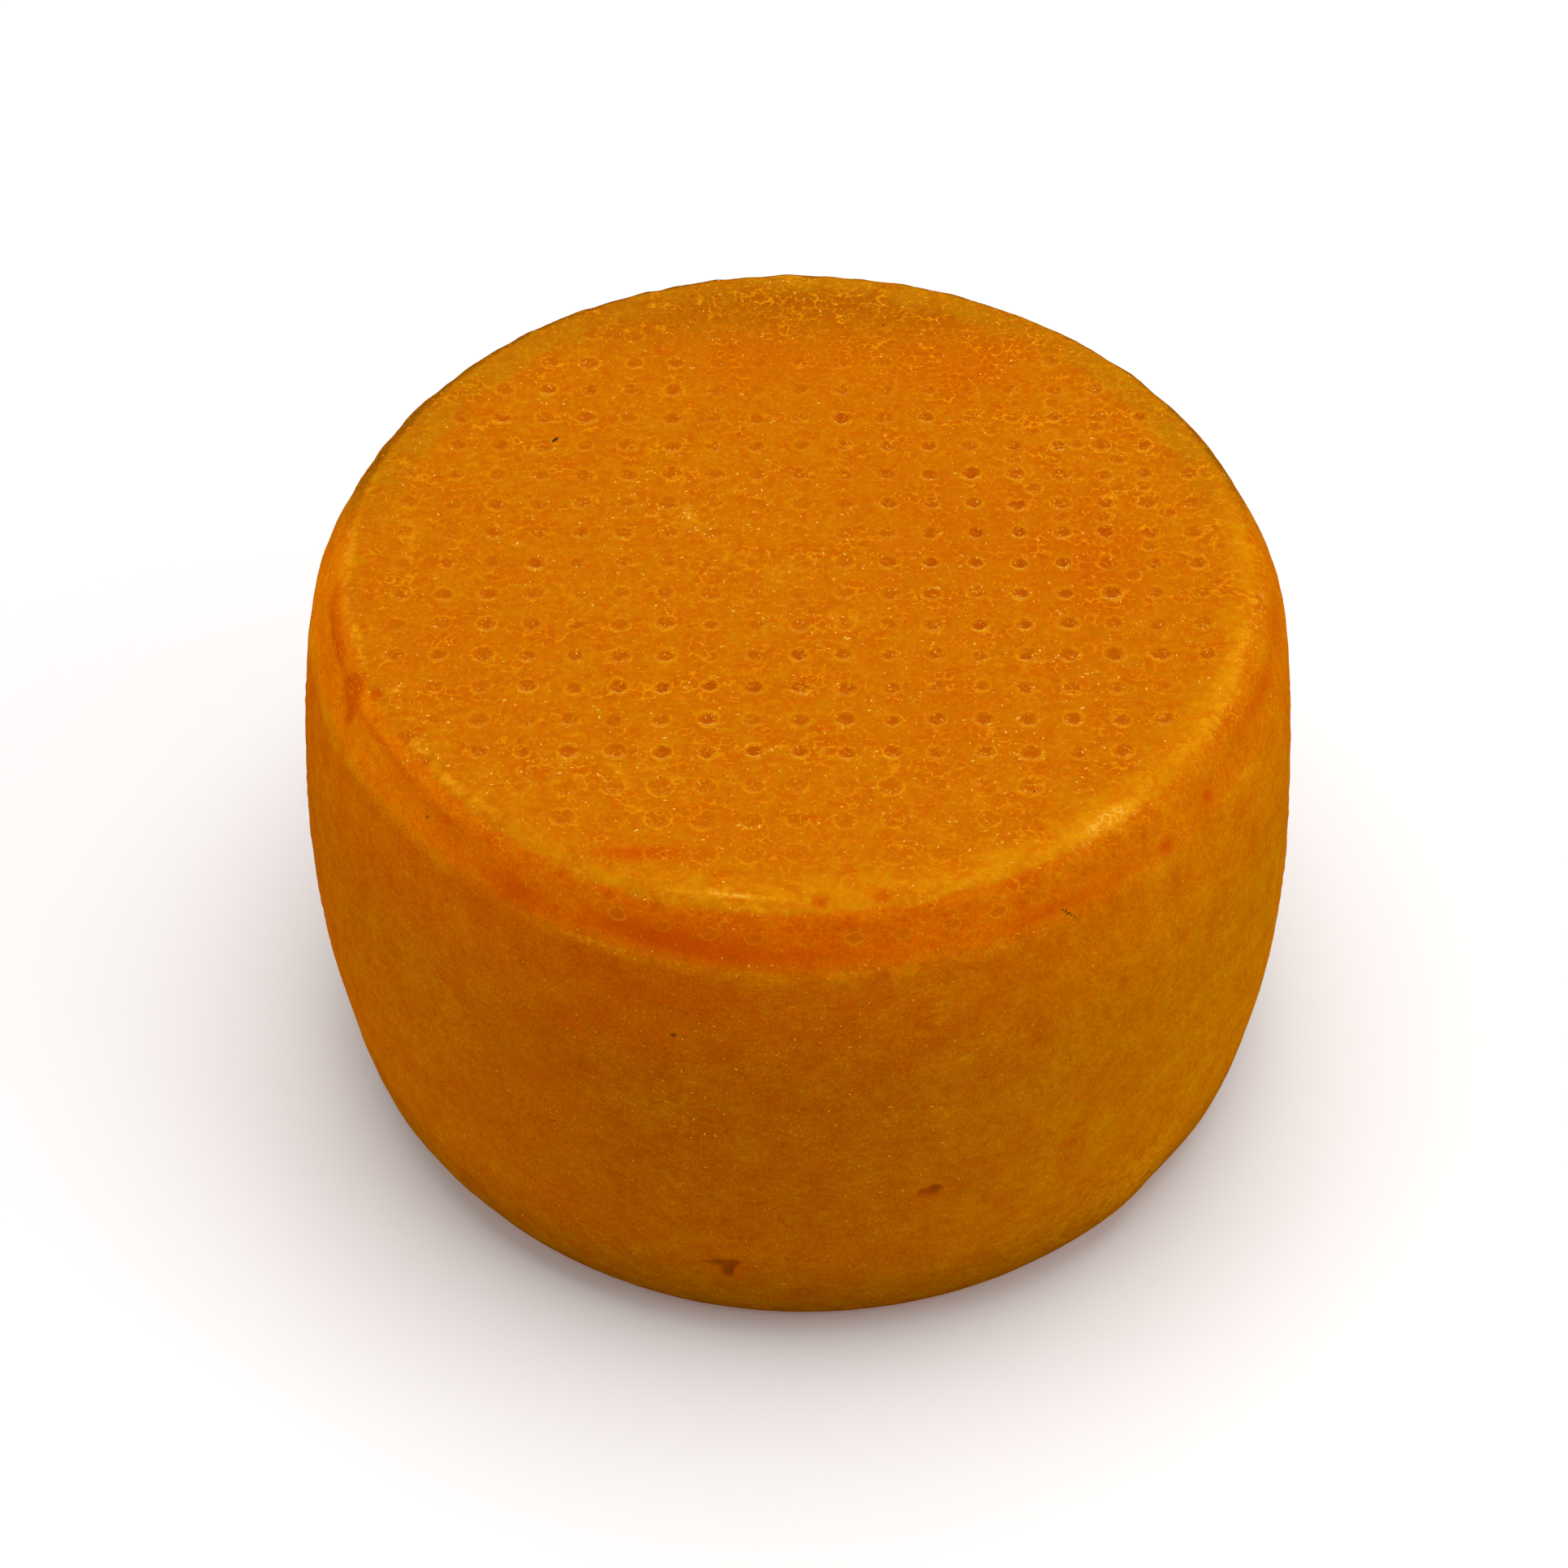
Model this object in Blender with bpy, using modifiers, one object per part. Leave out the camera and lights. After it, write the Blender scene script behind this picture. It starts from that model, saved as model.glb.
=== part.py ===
"""A small round wheel of semi-hard cheese: a low barrel with two flat faces, pressed in a perforated mould.

Metres, +Z up. The origin is on the table, at the middle of the lower face.
"""
import math
import random

import bmesh
import bpy

# Driving dimensions of the barrel
WHEEL_HEIGHT = 0.0807
BELLY_RADIUS = 0.0655
BELLY_LEVEL = 0.0355
SHOULDER_RADIUS = 0.0625
SHOULDER_DROP = 0.0082
LIP_RADIUS = 0.0584
LIP_ROUNDING = 0.0045
FACE_SINK = 0.0004
FACE_SINK_RADIUS = 0.0500
OUT_OF_ROUND = 0.00053
LONG_AXIS = math.radians(-45)

# Marks of the mould's holes in the upper face: a square lattice of small pits
MARK_PITCH = 0.0056
MARK_RADIUS = 0.00095
MARK_DEPTH = 0.00055
MARK_DEPTH_RANGE = (0.7, 1.1)
MARK_REACH = 0.0535
MARK_MIDDLE = (0.0003, 0.0002)
MARK_ROW_TURN = math.radians(-0.6)
MARK_SIDES = 6
MARK_WANDER = 0.00012
MARK_CUTTER_PROUD = 0.0003
MARK_SEED = 7

# How finely the turned barrel is divided
COLUMNS = 88
LIP_STEPS = 5
BAND_STEPS = 2
BELLY_STEPS = 11
TURN_MERGE = 0.00001
AXIS_REACH = 0.0001
SHARP_ANGLE = math.radians(40)

# Soft hollows and swells of the side: azimuth and half width in degrees, level and half height, depth
HOLLOWS = (
    (-4, 14, 0.052, 0.016, 0.00030),
    (-161, 11, 0.017, 0.012, 0.00040),
    (-40, 4, 0.009, 0.005, 0.00045),
    (-49, 5, 0.006, 0.008, -0.00040),
    (-82, 18, 0.003, 0.008, 0.00015),
    (110, 14, 0.079, 0.006, 0.00025),
    (147, 9, 0.079, 0.006, 0.00020),
)

# Small gouges in the side: azimuth in degrees, level, width, height, depth
GOUGES = (
    (-76.1, 0.0330, 0.0034, 0.0016, 0.0009),
    (-99.2, 0.0174, 0.0042, 0.0030, 0.0012),
)

RIND_ORANGE = (0.60, 0.19, 0.010, 1.0)


def clear_scene():
    for old in list(bpy.data.objects):
        bpy.data.objects.remove(old, do_unlink=True)


def new_collection(name):
    collection = bpy.data.collections.new(name)
    bpy.context.scene.collection.children.link(collection)
    return collection


def rind_material():
    material = bpy.data.materials.new("washed_rind")
    material.use_nodes = True
    shader = material.node_tree.nodes["Principled BSDF"]
    shader.inputs["Base Color"].default_value = RIND_ORANGE
    shader.inputs["Roughness"].default_value = 0.45
    shader.inputs["Metallic"].default_value = 0.0
    material.diffuse_color = RIND_ORANGE
    return material


def lip_arc():
    """Points of the rounded lip, from the flat face out and down to the sloping band."""
    slope = math.atan2(SHOULDER_DROP, SHOULDER_RADIUS - LIP_RADIUS)
    centre = LIP_RADIUS - LIP_ROUNDING * math.tan(slope / 2)
    points = []
    for step in range(LIP_STEPS + 1):
        turn = slope * step / LIP_STEPS
        out = centre + LIP_ROUNDING * math.sin(turn)
        drop = LIP_ROUNDING * (1 - math.cos(turn))
        points.append((out, drop))
    return points


def belly_radius(level):
    """Radius of the bulging side, a parabola above and below its widest level."""
    top = WHEEL_HEIGHT - SHOULDER_DROP
    reach = top - BELLY_LEVEL if level > BELLY_LEVEL else BELLY_LEVEL - SHOULDER_DROP
    share = (level - BELLY_LEVEL) / reach
    return BELLY_RADIUS - (BELLY_RADIUS - SHOULDER_RADIUS) * share * share


def barrel_profile():
    """Half section as (radius, height), from the middle of the upper face down to that of the lower."""
    lip = lip_arc()
    points = [(0.0, WHEEL_HEIGHT - FACE_SINK), (FACE_SINK_RADIUS, WHEEL_HEIGHT - FACE_SINK)]
    points += [(out, WHEEL_HEIGHT - drop) for out, drop in lip]
    last_out, last_drop = lip[-1]
    for step in range(1, BAND_STEPS):
        share = step / BAND_STEPS
        out = last_out + (SHOULDER_RADIUS - last_out) * share
        points.append((out, WHEEL_HEIGHT - last_drop - (SHOULDER_DROP - last_drop) * share))
    for step in range(BELLY_STEPS + 1):
        level = WHEEL_HEIGHT - SHOULDER_DROP - (WHEEL_HEIGHT - 2 * SHOULDER_DROP) * step / BELLY_STEPS
        points.append((belly_radius(level), level))
    for step in range(BAND_STEPS - 1, 0, -1):
        share = step / BAND_STEPS
        out = last_out + (SHOULDER_RADIUS - last_out) * share
        points.append((out, last_drop + (SHOULDER_DROP - last_drop) * share))
    points += [(out, drop) for out, drop in reversed(lip)]
    points.append((0.0, 0.0))
    return points


def turned_barrel(collection):
    """The profile spun round the wheel's axis."""
    mesh = bpy.data.meshes.new("cheese_wheel")
    points = [(radius, 0.0, height) for radius, height in barrel_profile()]
    edges = [(i, i + 1) for i in range(len(points) - 1)]
    mesh.from_pydata(points, edges, [])
    wheel = bpy.data.objects.new("cheese_wheel", mesh)
    collection.objects.link(wheel)
    turn = wheel.modifiers.new("turn", "SCREW")
    turn.axis = "Z"
    turn.angle = 2 * math.pi
    turn.steps = COLUMNS
    turn.render_steps = COLUMNS
    turn.use_merge_vertices = True
    turn.merge_threshold = TURN_MERGE
    return wheel


def apply_modifiers(thing):
    evaluated = thing.evaluated_get(bpy.context.evaluated_depsgraph_get())
    solid = bpy.data.meshes.new_from_object(evaluated)
    thing.modifiers.clear()
    thing.data = solid


def dissolve_flat_faces(wheel):
    """Turns each fan of thin triangles about the axis into one polygon."""
    mesh = bmesh.new()
    mesh.from_mesh(wheel.data)
    on_axis = [v for v in mesh.verts if math.hypot(v.co.x, v.co.y) < AXIS_REACH]
    bmesh.ops.dissolve_verts(mesh, verts=on_axis)
    mesh.to_mesh(wheel.data)
    mesh.free()


def side_offset(azimuth, level):
    """How far the side stands out or in at a place, from the soft hollows and swells."""
    offset = 0.0
    for middle, half_width, height, half_height, depth in HOLLOWS:
        across = (math.degrees(azimuth) - middle + 180) % 360 - 180
        offset -= depth * math.exp(-(across / half_width) ** 2 - ((level - height) / half_height) ** 2)
    return offset


def uneven_radius(radius, azimuth, level):
    """The radius that a point of the turned barrel has on the real, slightly oval and uneven wheel.

    The hollows fade fast towards the axis, so that both faces keep their flat.
    """
    oval = OUT_OF_ROUND / BELLY_RADIUS * math.cos(2 * (azimuth - LONG_AXIS))
    return radius * (1 + oval) + side_offset(azimuth, level) * (radius / BELLY_RADIUS) ** 4


def settle_out_of_round(wheel):
    """Makes the turned barrel slightly oval and uneven; both faces stay flat."""
    for vertex in wheel.data.vertices:
        radius = math.hypot(vertex.co.x, vertex.co.y)
        azimuth = math.atan2(vertex.co.y, vertex.co.x)
        grown = uneven_radius(radius, azimuth, vertex.co.z)
        vertex.co.x = grown * math.cos(azimuth)
        vertex.co.y = grown * math.sin(azimuth)


def cutter_object(name, mesh, collection):
    data = bpy.data.meshes.new(name)
    mesh.to_mesh(data)
    mesh.free()
    cutter = bpy.data.objects.new(name, data)
    cutter.hide_render = True
    cutter.display_type = "WIRE"
    collection.objects.link(cutter)
    return cutter


def cut(wheel, cutter):
    boolean = wheel.modifiers.new(cutter.name, "BOOLEAN")
    boolean.operation = "DIFFERENCE"
    boolean.solver = "EXACT"
    boolean.object = cutter


def turned(x, y, angle):
    return x * math.cos(angle) - y * math.sin(angle), x * math.sin(angle) + y * math.cos(angle)


def mark_places():
    """Centres of the mould's holes, trimmed to the flat of the face."""
    count = int(MARK_REACH / MARK_PITCH) + 1
    for row in range(-count, count + 1):
        for column in range(-count, count + 1):
            x, y = turned(column * MARK_PITCH, row * MARK_PITCH, MARK_ROW_TURN)
            x += MARK_MIDDLE[0]
            y += MARK_MIDDLE[1]
            if math.hypot(x, y) < MARK_REACH:
                yield x, y


def mark_cutters(collection):
    """One mesh of small cones, point down, standing a little proud of the face."""
    draw = random.Random(MARK_SEED)
    mesh = bmesh.new()
    for x, y in mark_places():
        depth = MARK_DEPTH * draw.uniform(*MARK_DEPTH_RANGE)
        length = depth + MARK_CUTTER_PROUD
        cone = bmesh.ops.create_cone(
            mesh, cap_ends=True, segments=MARK_SIDES,
            radius1=0.0, radius2=MARK_RADIUS * length / depth, depth=length,
        )
        angle = draw.uniform(0, 2 * math.pi)
        across = x + draw.uniform(-MARK_WANDER, MARK_WANDER)
        along = y + draw.uniform(-MARK_WANDER, MARK_WANDER)
        middle = WHEEL_HEIGHT - FACE_SINK - depth + length / 2
        for vertex in cone["verts"]:
            px, py = turned(vertex.co.x, vertex.co.y, angle)
            vertex.co = (across + px, along + py, vertex.co.z + middle)
    return cutter_object("mark_cutters", mesh, collection)


def gouge_cutters(collection):
    """Flattened balls that bite small hollows out of the side."""
    mesh = bmesh.new()
    for azimuth, level, width, height, depth in GOUGES:
        ball = bmesh.ops.create_icosphere(mesh, subdivisions=2, radius=1.0)
        turn = math.radians(azimuth)
        surface = uneven_radius(belly_radius(level), turn, level)
        for vertex in ball["verts"]:
            x, y = turned(surface + vertex.co.x * depth, vertex.co.y * width / 2, turn)
            vertex.co = (x, y, level + vertex.co.z * height / 2)
    return cutter_object("gouge_cutters", mesh, collection)


def build():
    clear_scene()
    cheese = new_collection("mutschli_cheese")
    cutters = new_collection("cutters")
    wheel = turned_barrel(cheese)
    apply_modifiers(wheel)
    dissolve_flat_faces(wheel)
    settle_out_of_round(wheel)
    wheel.data.materials.clear()
    wheel.data.materials.append(rind_material())
    cut(wheel, mark_cutters(cutters))
    cut(wheel, gouge_cutters(cutters))
    wheel.data.shade_smooth()
    wheel.data.set_sharp_from_angle(angle=SHARP_ANGLE)


build()
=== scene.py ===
# %% [markdown]
# # A mutschli, a small wheel of semi-hard cheese
# The wheel was pressed in a perforated mould, salted and smeared until it grew an orange rind.
# The frame holds its plain faceted solid. This script makes the fine rind that takes the
# solid's place: the same barrel with rounded lips, the marks of the mould, its small faults,
# and the colours of a washed rind.

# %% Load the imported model
import math
import random
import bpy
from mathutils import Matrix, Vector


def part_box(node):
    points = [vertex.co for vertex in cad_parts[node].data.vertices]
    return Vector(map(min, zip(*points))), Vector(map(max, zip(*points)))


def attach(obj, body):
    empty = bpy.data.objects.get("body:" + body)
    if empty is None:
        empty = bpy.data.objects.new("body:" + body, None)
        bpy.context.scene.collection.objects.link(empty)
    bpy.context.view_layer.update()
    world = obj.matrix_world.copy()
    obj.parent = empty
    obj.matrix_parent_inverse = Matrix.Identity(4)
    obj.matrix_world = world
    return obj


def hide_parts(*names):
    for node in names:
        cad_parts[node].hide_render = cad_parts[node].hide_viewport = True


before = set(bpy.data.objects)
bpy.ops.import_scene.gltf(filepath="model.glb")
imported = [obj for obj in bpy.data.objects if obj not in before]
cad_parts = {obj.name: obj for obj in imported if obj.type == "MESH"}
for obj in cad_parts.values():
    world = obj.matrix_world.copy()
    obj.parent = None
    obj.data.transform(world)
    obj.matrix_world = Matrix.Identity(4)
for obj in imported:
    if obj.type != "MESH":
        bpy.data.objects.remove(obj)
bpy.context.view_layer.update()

from types import SimpleNamespace

import bmesh
import bpy
import numpy as np
from mathutils import Matrix, Vector, kdtree

SOLID = "cheese_wheel"
MM = 0.001
NEAR = 0.01 * MM
lowest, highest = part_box(SOLID)
WHEEL_HEIGHT = highest.z

# %% [markdown]
# ## The camera
# The photograph was taken from well above the wheel with a long lens: its ellipses are nearly
# alike at the top and the bottom. The lens is given by how many picture pixels one radian
# spans in the middle of the square picture. The camera sits on a line that leans back from the
# point it looks at, and is rolled by half a degree.

# %% Place the camera
PICTURE = 1932
PIXELS_PER_RADIAN = 4940.7
SENSOR = 36.0
AIM = Vector((-0.00192, -0.03911, WHEEL_HEIGHT))
CAMERA_DISTANCE = 0.4815
CAMERA_ELEVATION = math.radians(46.19)
CAMERA_ROLL = math.radians(-0.434)
NEAREST_SEEN = 0.01


def make_camera():
    lens = bpy.data.cameras.new("view")
    lens.sensor_width = SENSOR
    lens.lens = PIXELS_PER_RADIAN / PICTURE * SENSOR
    lens.clip_start = NEAREST_SEEN
    camera = bpy.data.objects.new("view", lens)
    bpy.context.scene.collection.objects.link(camera)
    away = Vector((0.0, -math.cos(CAMERA_ELEVATION), math.sin(CAMERA_ELEVATION)))
    lean = Matrix.Rotation(math.pi / 2 - CAMERA_ELEVATION, 4, "X")
    roll = Matrix.Rotation(CAMERA_ROLL, 4, "Z")
    camera.matrix_world = Matrix.Translation(AIM + away * CAMERA_DISTANCE) @ lean @ roll
    bpy.context.scene.camera = camera
    return lens


print("lens, mm:", round(make_camera().lens, 2))

# %% [markdown]
# ## The barrel
# On the real wheel the mould gives the flat faces, the sloping band and the lip, and the curd
# bulges between them. The half section below is the solid's own, divided finer. It could be a
# curve with a Screw modifier; here a ring of vertices is let down the section step by step,
# each step an extrude and a resize, as it would be done by hand. That keeps the columns even
# and leaves one open loop at each face to close.

# %% The half section
BELLY_RADIUS = 0.0655
BELLY_LEVEL = 0.0355
SHOULDER_RADIUS = 0.0625
SHOULDER_DROP = 0.0082
LIP_RADIUS = 0.0584
LIP_ROUNDING = 0.0045
FACE_SINK = 0.0004
FACE_SINK_RADIUS = 0.0500
# Steps of the lip and of the band, above and below, and rings of the side between them
UPPER_STEPS = (8, 10)
LOWER_STEPS = (5, 5)
SIDE_RINGS = 49
LIP_SLOPE = math.atan2(SHOULDER_DROP, SHOULDER_RADIUS - LIP_RADIUS)
FACE_RADIUS = LIP_RADIUS - LIP_ROUNDING * math.tan(LIP_SLOPE / 2)


def lip_and_band(lip_steps, band_steps):
    """(radius, drop) from the flat face round the lip and down the sloping band to the shoulder."""
    points = []
    for step in range(lip_steps + 1):
        turn = LIP_SLOPE * step / lip_steps
        points.append((FACE_RADIUS + LIP_ROUNDING * math.sin(turn), LIP_ROUNDING * (1 - math.cos(turn))))
    out, drop = points[-1]
    for step in range(1, band_steps + 1):
        share = step / band_steps
        points.append((out + (SHOULDER_RADIUS - out) * share, drop + (SHOULDER_DROP - drop) * share))
    return points


def belly_radius(level):
    """Radius of the bulging side, a parabola above and below its widest level."""
    top = WHEEL_HEIGHT - SHOULDER_DROP
    reach = top - BELLY_LEVEL if level > BELLY_LEVEL else BELLY_LEVEL - SHOULDER_DROP
    return BELLY_RADIUS - (BELLY_RADIUS - SHOULDER_RADIUS) * ((level - BELLY_LEVEL) / reach) ** 2


def half_section():
    """(radius, level) from the edge of the upper face down to the edge of the lower one."""
    upper = [(out, WHEEL_HEIGHT - drop) for out, drop in lip_and_band(*UPPER_STEPS)]
    top = WHEEL_HEIGHT - SHOULDER_DROP
    levels = np.linspace(top, SHOULDER_DROP, SIDE_RINGS)[1:-1]
    lower = [(out, drop) for out, drop in reversed(lip_and_band(*LOWER_STEPS))]
    return upper + [(belly_radius(level), float(level)) for level in levels] + lower


SECTION = half_section()
print("rings:", len(SECTION), "edge of the flat face, mm:", round(FACE_RADIUS / MM, 2))

# %% Let a ring down the section
COLUMNS = 320


def only(thing):
    bpy.ops.object.select_all(action="DESELECT")
    thing.select_set(True)
    bpy.context.view_layer.objects.active = thing


def edit(thing, part="VERT"):
    """Opens edit mode on one piece, with nothing selected."""
    only(thing)
    bpy.ops.object.mode_set(mode="EDIT")
    bpy.ops.mesh.select_mode(type=part)
    bpy.ops.mesh.select_all(action="DESELECT")


def print_size(step):
    print("rind after", step + ", mm:", [round(side / MM, 2) for side in rind.dimensions])


def lathe(section):
    bpy.ops.object.select_all(action="DESELECT")
    first_radius, first_level = section[0]
    bpy.ops.mesh.primitive_circle_add(vertices=COLUMNS, radius=first_radius, location=(0, 0, first_level))
    barrel = bpy.context.object
    barrel.name = barrel.data.name = "cheese_rind"
    bpy.ops.object.transform_apply(location=True, rotation=False, scale=False)
    bpy.ops.object.mode_set(mode="EDIT")
    bpy.ops.mesh.select_all(action="SELECT")
    for (radius, level), (next_radius, next_level) in zip(section, section[1:]):
        bpy.ops.mesh.extrude_region_move(TRANSFORM_OT_translate={"value": (0, 0, next_level - level)})
        grown = next_radius / radius
        bpy.ops.transform.resize(value=(grown, grown, 1), center_override=(0, 0, next_level))
    return barrel


rind = lathe(SECTION)
print("vertices after the lathe:", len(bmesh.from_edit_mesh(rind.data).verts))

# %% [markdown]
# The two faces are closed with a grid of squares and not with a fan of triangles, because the
# small pits need even squares to sink into. The upper face is divided finest, into squares of
# about half a millimetre, the lip and the band a little coarser, and the rest stays as it is.

# %% Close the faces and divide what shows most
FACE_CUTS = 2


def select_loop(level):
    """Selects the open edge loop at one level."""
    bpy.ops.mesh.select_mode(type="EDGE")
    bpy.ops.mesh.select_all(action="DESELECT")
    mesh = bmesh.from_edit_mesh(rind.data)
    for edge in mesh.edges:
        if edge.is_boundary and abs(edge.verts[0].co.z - level) < NEAR:
            edge.select_set(True)
    mesh.select_flush(True)


def divide_columns(lower, upper):
    """Splits the columns between two levels, by their level edges."""
    bpy.ops.mesh.select_all(action="DESELECT")
    mesh = bmesh.from_edit_mesh(rind.data)
    for edge in mesh.edges:
        a, b = edge.verts
        if abs(a.co.z - b.co.z) < NEAR / 10 and lower < a.co.z < upper:
            if math.hypot(a.co.x, a.co.y) > FACE_RADIUS - NEAR:
                edge.select_set(True)
    bpy.ops.mesh.subdivide(number_cuts=1)


select_loop(0.0)
bpy.ops.mesh.fill_grid(span=COLUMNS // 4)
select_loop(WHEEL_HEIGHT)
bpy.ops.mesh.fill_grid(span=COLUMNS // 4)
bpy.ops.mesh.select_mode(type="FACE")
bpy.ops.mesh.subdivide(number_cuts=FACE_CUTS)
bpy.ops.mesh.select_mode(type="EDGE")
divide_columns(WHEEL_HEIGHT - SHOULDER_DROP - 10 * NEAR, WHEEL_HEIGHT - NEAR)
bpy.ops.mesh.select_all(action="SELECT")
bpy.ops.mesh.normals_make_consistent(inside=False)
bpy.ops.object.mode_set(mode="OBJECT")
print("faces:", len(rind.data.polygons))

# %% [markdown]
# The shoulder, where the band meets the side, is a soft edge on the real wheel. Bevel would
# add rings. Smoothing the vertices near it a few times takes off the edge and adds none.

# %% Soften the shoulders
SHOULDER_SOFT = 2.2 * MM
SMOOTH_SHARE = 0.5
SMOOTH_TIMES = 6


def soften(levels):
    for vertex in bmesh.from_edit_mesh(rind.data).verts:
        if min(abs(vertex.co.z - level) for level in levels) < SHOULDER_SOFT:
            vertex.select_set(True)
    bpy.ops.mesh.vertices_smooth(factor=SMOOTH_SHARE, repeat=SMOOTH_TIMES)


edit(rind)
soften((SHOULDER_DROP, WHEEL_HEIGHT - SHOULDER_DROP))
bpy.ops.object.mode_set(mode="OBJECT")
print("softened round the shoulders, mm each way:", SHOULDER_SOFT / MM)

# %% [markdown]
# ## Out of round
# A wheel is turned by hand while it drains and ripens, so it ends slightly oval, with soft
# hollows where it was held or lay. The amounts are those of the solid, so that the outline of
# the fine rind stays that of the solid. They are worked out for each vertex by a formula,
# because the hollows are wider than they are high and no falloff of the move tool has that form.

# %% Settle the barrel
OUT_OF_ROUND = 0.00053
LONG_AXIS = math.radians(-45)
HOLLOWS = (
    (-4, 14, 0.052, 0.016, 0.0003), (-161, 11, 0.017, 0.012, 0.0004), (-40, 4, 0.009, 0.005, 0.00045),
    (-49, 5, 0.006, 0.008, -0.0004), (-82, 18, 0.003, 0.008, 0.00015), (110, 14, 0.079, 0.006, 0.00025),
    (147, 9, 0.079, 0.006, 0.0002),
)


def uneven_radius(radius, azimuth, level):
    """Radius of a point of the turned barrel on the oval and uneven wheel."""
    offset = 0.0
    for middle, half_width, height, half_height, depth in HOLLOWS:
        across = (np.degrees(azimuth) - middle + 180) % 360 - 180
        up = (level - height) / half_height
        offset = offset - depth * np.exp(-(across / half_width) ** 2 - up ** 2)
    oval = OUT_OF_ROUND / BELLY_RADIUS * np.cos(2 * (azimuth - LONG_AXIS))
    return radius * (1 + oval) + offset * (radius / BELLY_RADIUS) ** 4


def read_points(thing):
    flat = np.empty(len(thing.data.vertices) * 3)
    thing.data.vertices.foreach_get("co", flat)
    return flat.reshape(-1, 3)


def write_points(thing, points):
    thing.data.vertices.foreach_set("co", points.ravel())
    thing.data.update()


def settle(points):
    radius = np.hypot(points[:, 0], points[:, 1])
    azimuth = np.arctan2(points[:, 1], points[:, 0])
    grown = uneven_radius(radius, azimuth, points[:, 2])
    sunk = np.interp(radius, (FACE_SINK_RADIUS, FACE_RADIUS), (FACE_SINK, 0.0))
    on_top = points[:, 2] > WHEEL_HEIGHT - NEAR
    settled = points.copy()
    settled[:, 0] = grown * np.cos(azimuth)
    settled[:, 1] = grown * np.sin(azimuth)
    settled[:, 2] -= np.where(on_top, sunk, 0.0)
    return settled


write_points(rind, settle(read_points(rind)))
print_size("it settled")

# %% [markdown]
# Many small things below are placed by their azimuth and level, as one would point at them on
# the real wheel. A helper turns these into a point of the uneven side and the way out of it.

# %% Where a place on the side lies
SIDE_LEVELS = [level for radius, level in SECTION][::-1]
SIDE_RADII = [radius for radius, level in SECTION][::-1]


def on_side(azimuth_degrees, level):
    """The point of the lip, band or side at an azimuth and a level, and the way outwards there."""
    azimuth = math.radians(azimuth_degrees)
    radius = uneven_radius(float(np.interp(level, SIDE_LEVELS, SIDE_RADII)), azimuth, level)
    outwards = Vector((math.cos(azimuth), math.sin(azimuth), 0.0))
    return outwards * radius + Vector((0, 0, level)), outwards


def on_face(x, y):
    return Vector((x, y, WHEEL_HEIGHT - FACE_SINK)), Vector((0, 0, 1))


print("a place on the belly, mm:", [round(part / MM, 1) for part in on_side(-90, BELLY_LEVEL)[0]])

# %% [markdown]
# ## Swells of the rind
# Under the rind lie grains of curd, so the surface is never quite even: broad swells of about a
# tenth of a millimetre and finer ones of less. The lip is more uneven than the rest, as nothing
# pressed it flat. Displace modifiers with cloud textures make them, each applied at once. One
# vertex group keeps them off the resting face, and one holds the larger ones to the lip.

# %% Swell the surface
# Size and height of each
SWELLS = ((9 * MM, 0.24 * MM), (3.2 * MM, 0.13 * MM), (1.3 * MM, 0.07 * MM))
LIP_SWELLS = ((4 * MM, 0.45 * MM), (1.5 * MM, 0.08 * MM))
REST_CLEAR = 6 * MM
LIP_LEVELS = (0.0760, 0.0785)
LIP_RADII = (0.0520, 0.0560)


def weigh(thing, name, shares):
    """A vertex group whose weights are the shares, in tenths."""
    group = thing.vertex_groups.new(name=name)
    for share in range(1, 11):
        chosen = np.flatnonzero(np.round(shares * 10) == share)
        group.add(chosen.tolist(), share / 10, "REPLACE")


def swell(thing, group, swells):
    only(thing)
    for size, height in swells:
        clouds = bpy.data.textures.new("curd", "CLOUDS")
        clouds.noise_scale = size
        clouds.noise_depth = 1
        push = thing.modifiers.new("swell", "DISPLACE")
        push.texture = clouds
        push.texture_coords = "LOCAL"
        push.strength = height
        push.mid_level = 0.5
        push.vertex_group = group
        bpy.ops.object.modifier_apply(modifier=push.name)


points = read_points(rind)
weigh(rind, "free", np.clip(points[:, 2] / REST_CLEAR, 0, 1))
out = np.hypot(points[:, 0], points[:, 1])
weigh(rind, "lip", np.interp(points[:, 2], LIP_LEVELS, (0, 1)) * np.interp(out, LIP_RADII, (0, 1)))
swell(rind, "free", SWELLS)
swell(rind, "lip", LIP_SWELLS)
print_size("the swells")

# %% [markdown]
# ## The marks of the mould
# The mould's lid and floor are drilled in a square lattice. Curd pushed a little way into each
# hole, and what is left is a small pit within a low ring. The pits differ: they are deepest at
# the right and in a band before the middle, and nearly gone in the middle and at the back, where
# the cloth lay tight. Near the front edge they are wide and shallow. So each mark of the lattice
# is listed with its own size, depth and ring, drawn round what is usual at its place.

# %% List the marks
MARK_PITCH = 0.0056
MARK_REACH = 0.0535
MARK_MIDDLE = Vector((0.0003, 0.0002))
MARK_ROW_TURN = math.radians(-0.6)
MARK_WANDER = 0.00022
MARK_DEPTH = 0.00052
MARK_SEED = 11
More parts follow.
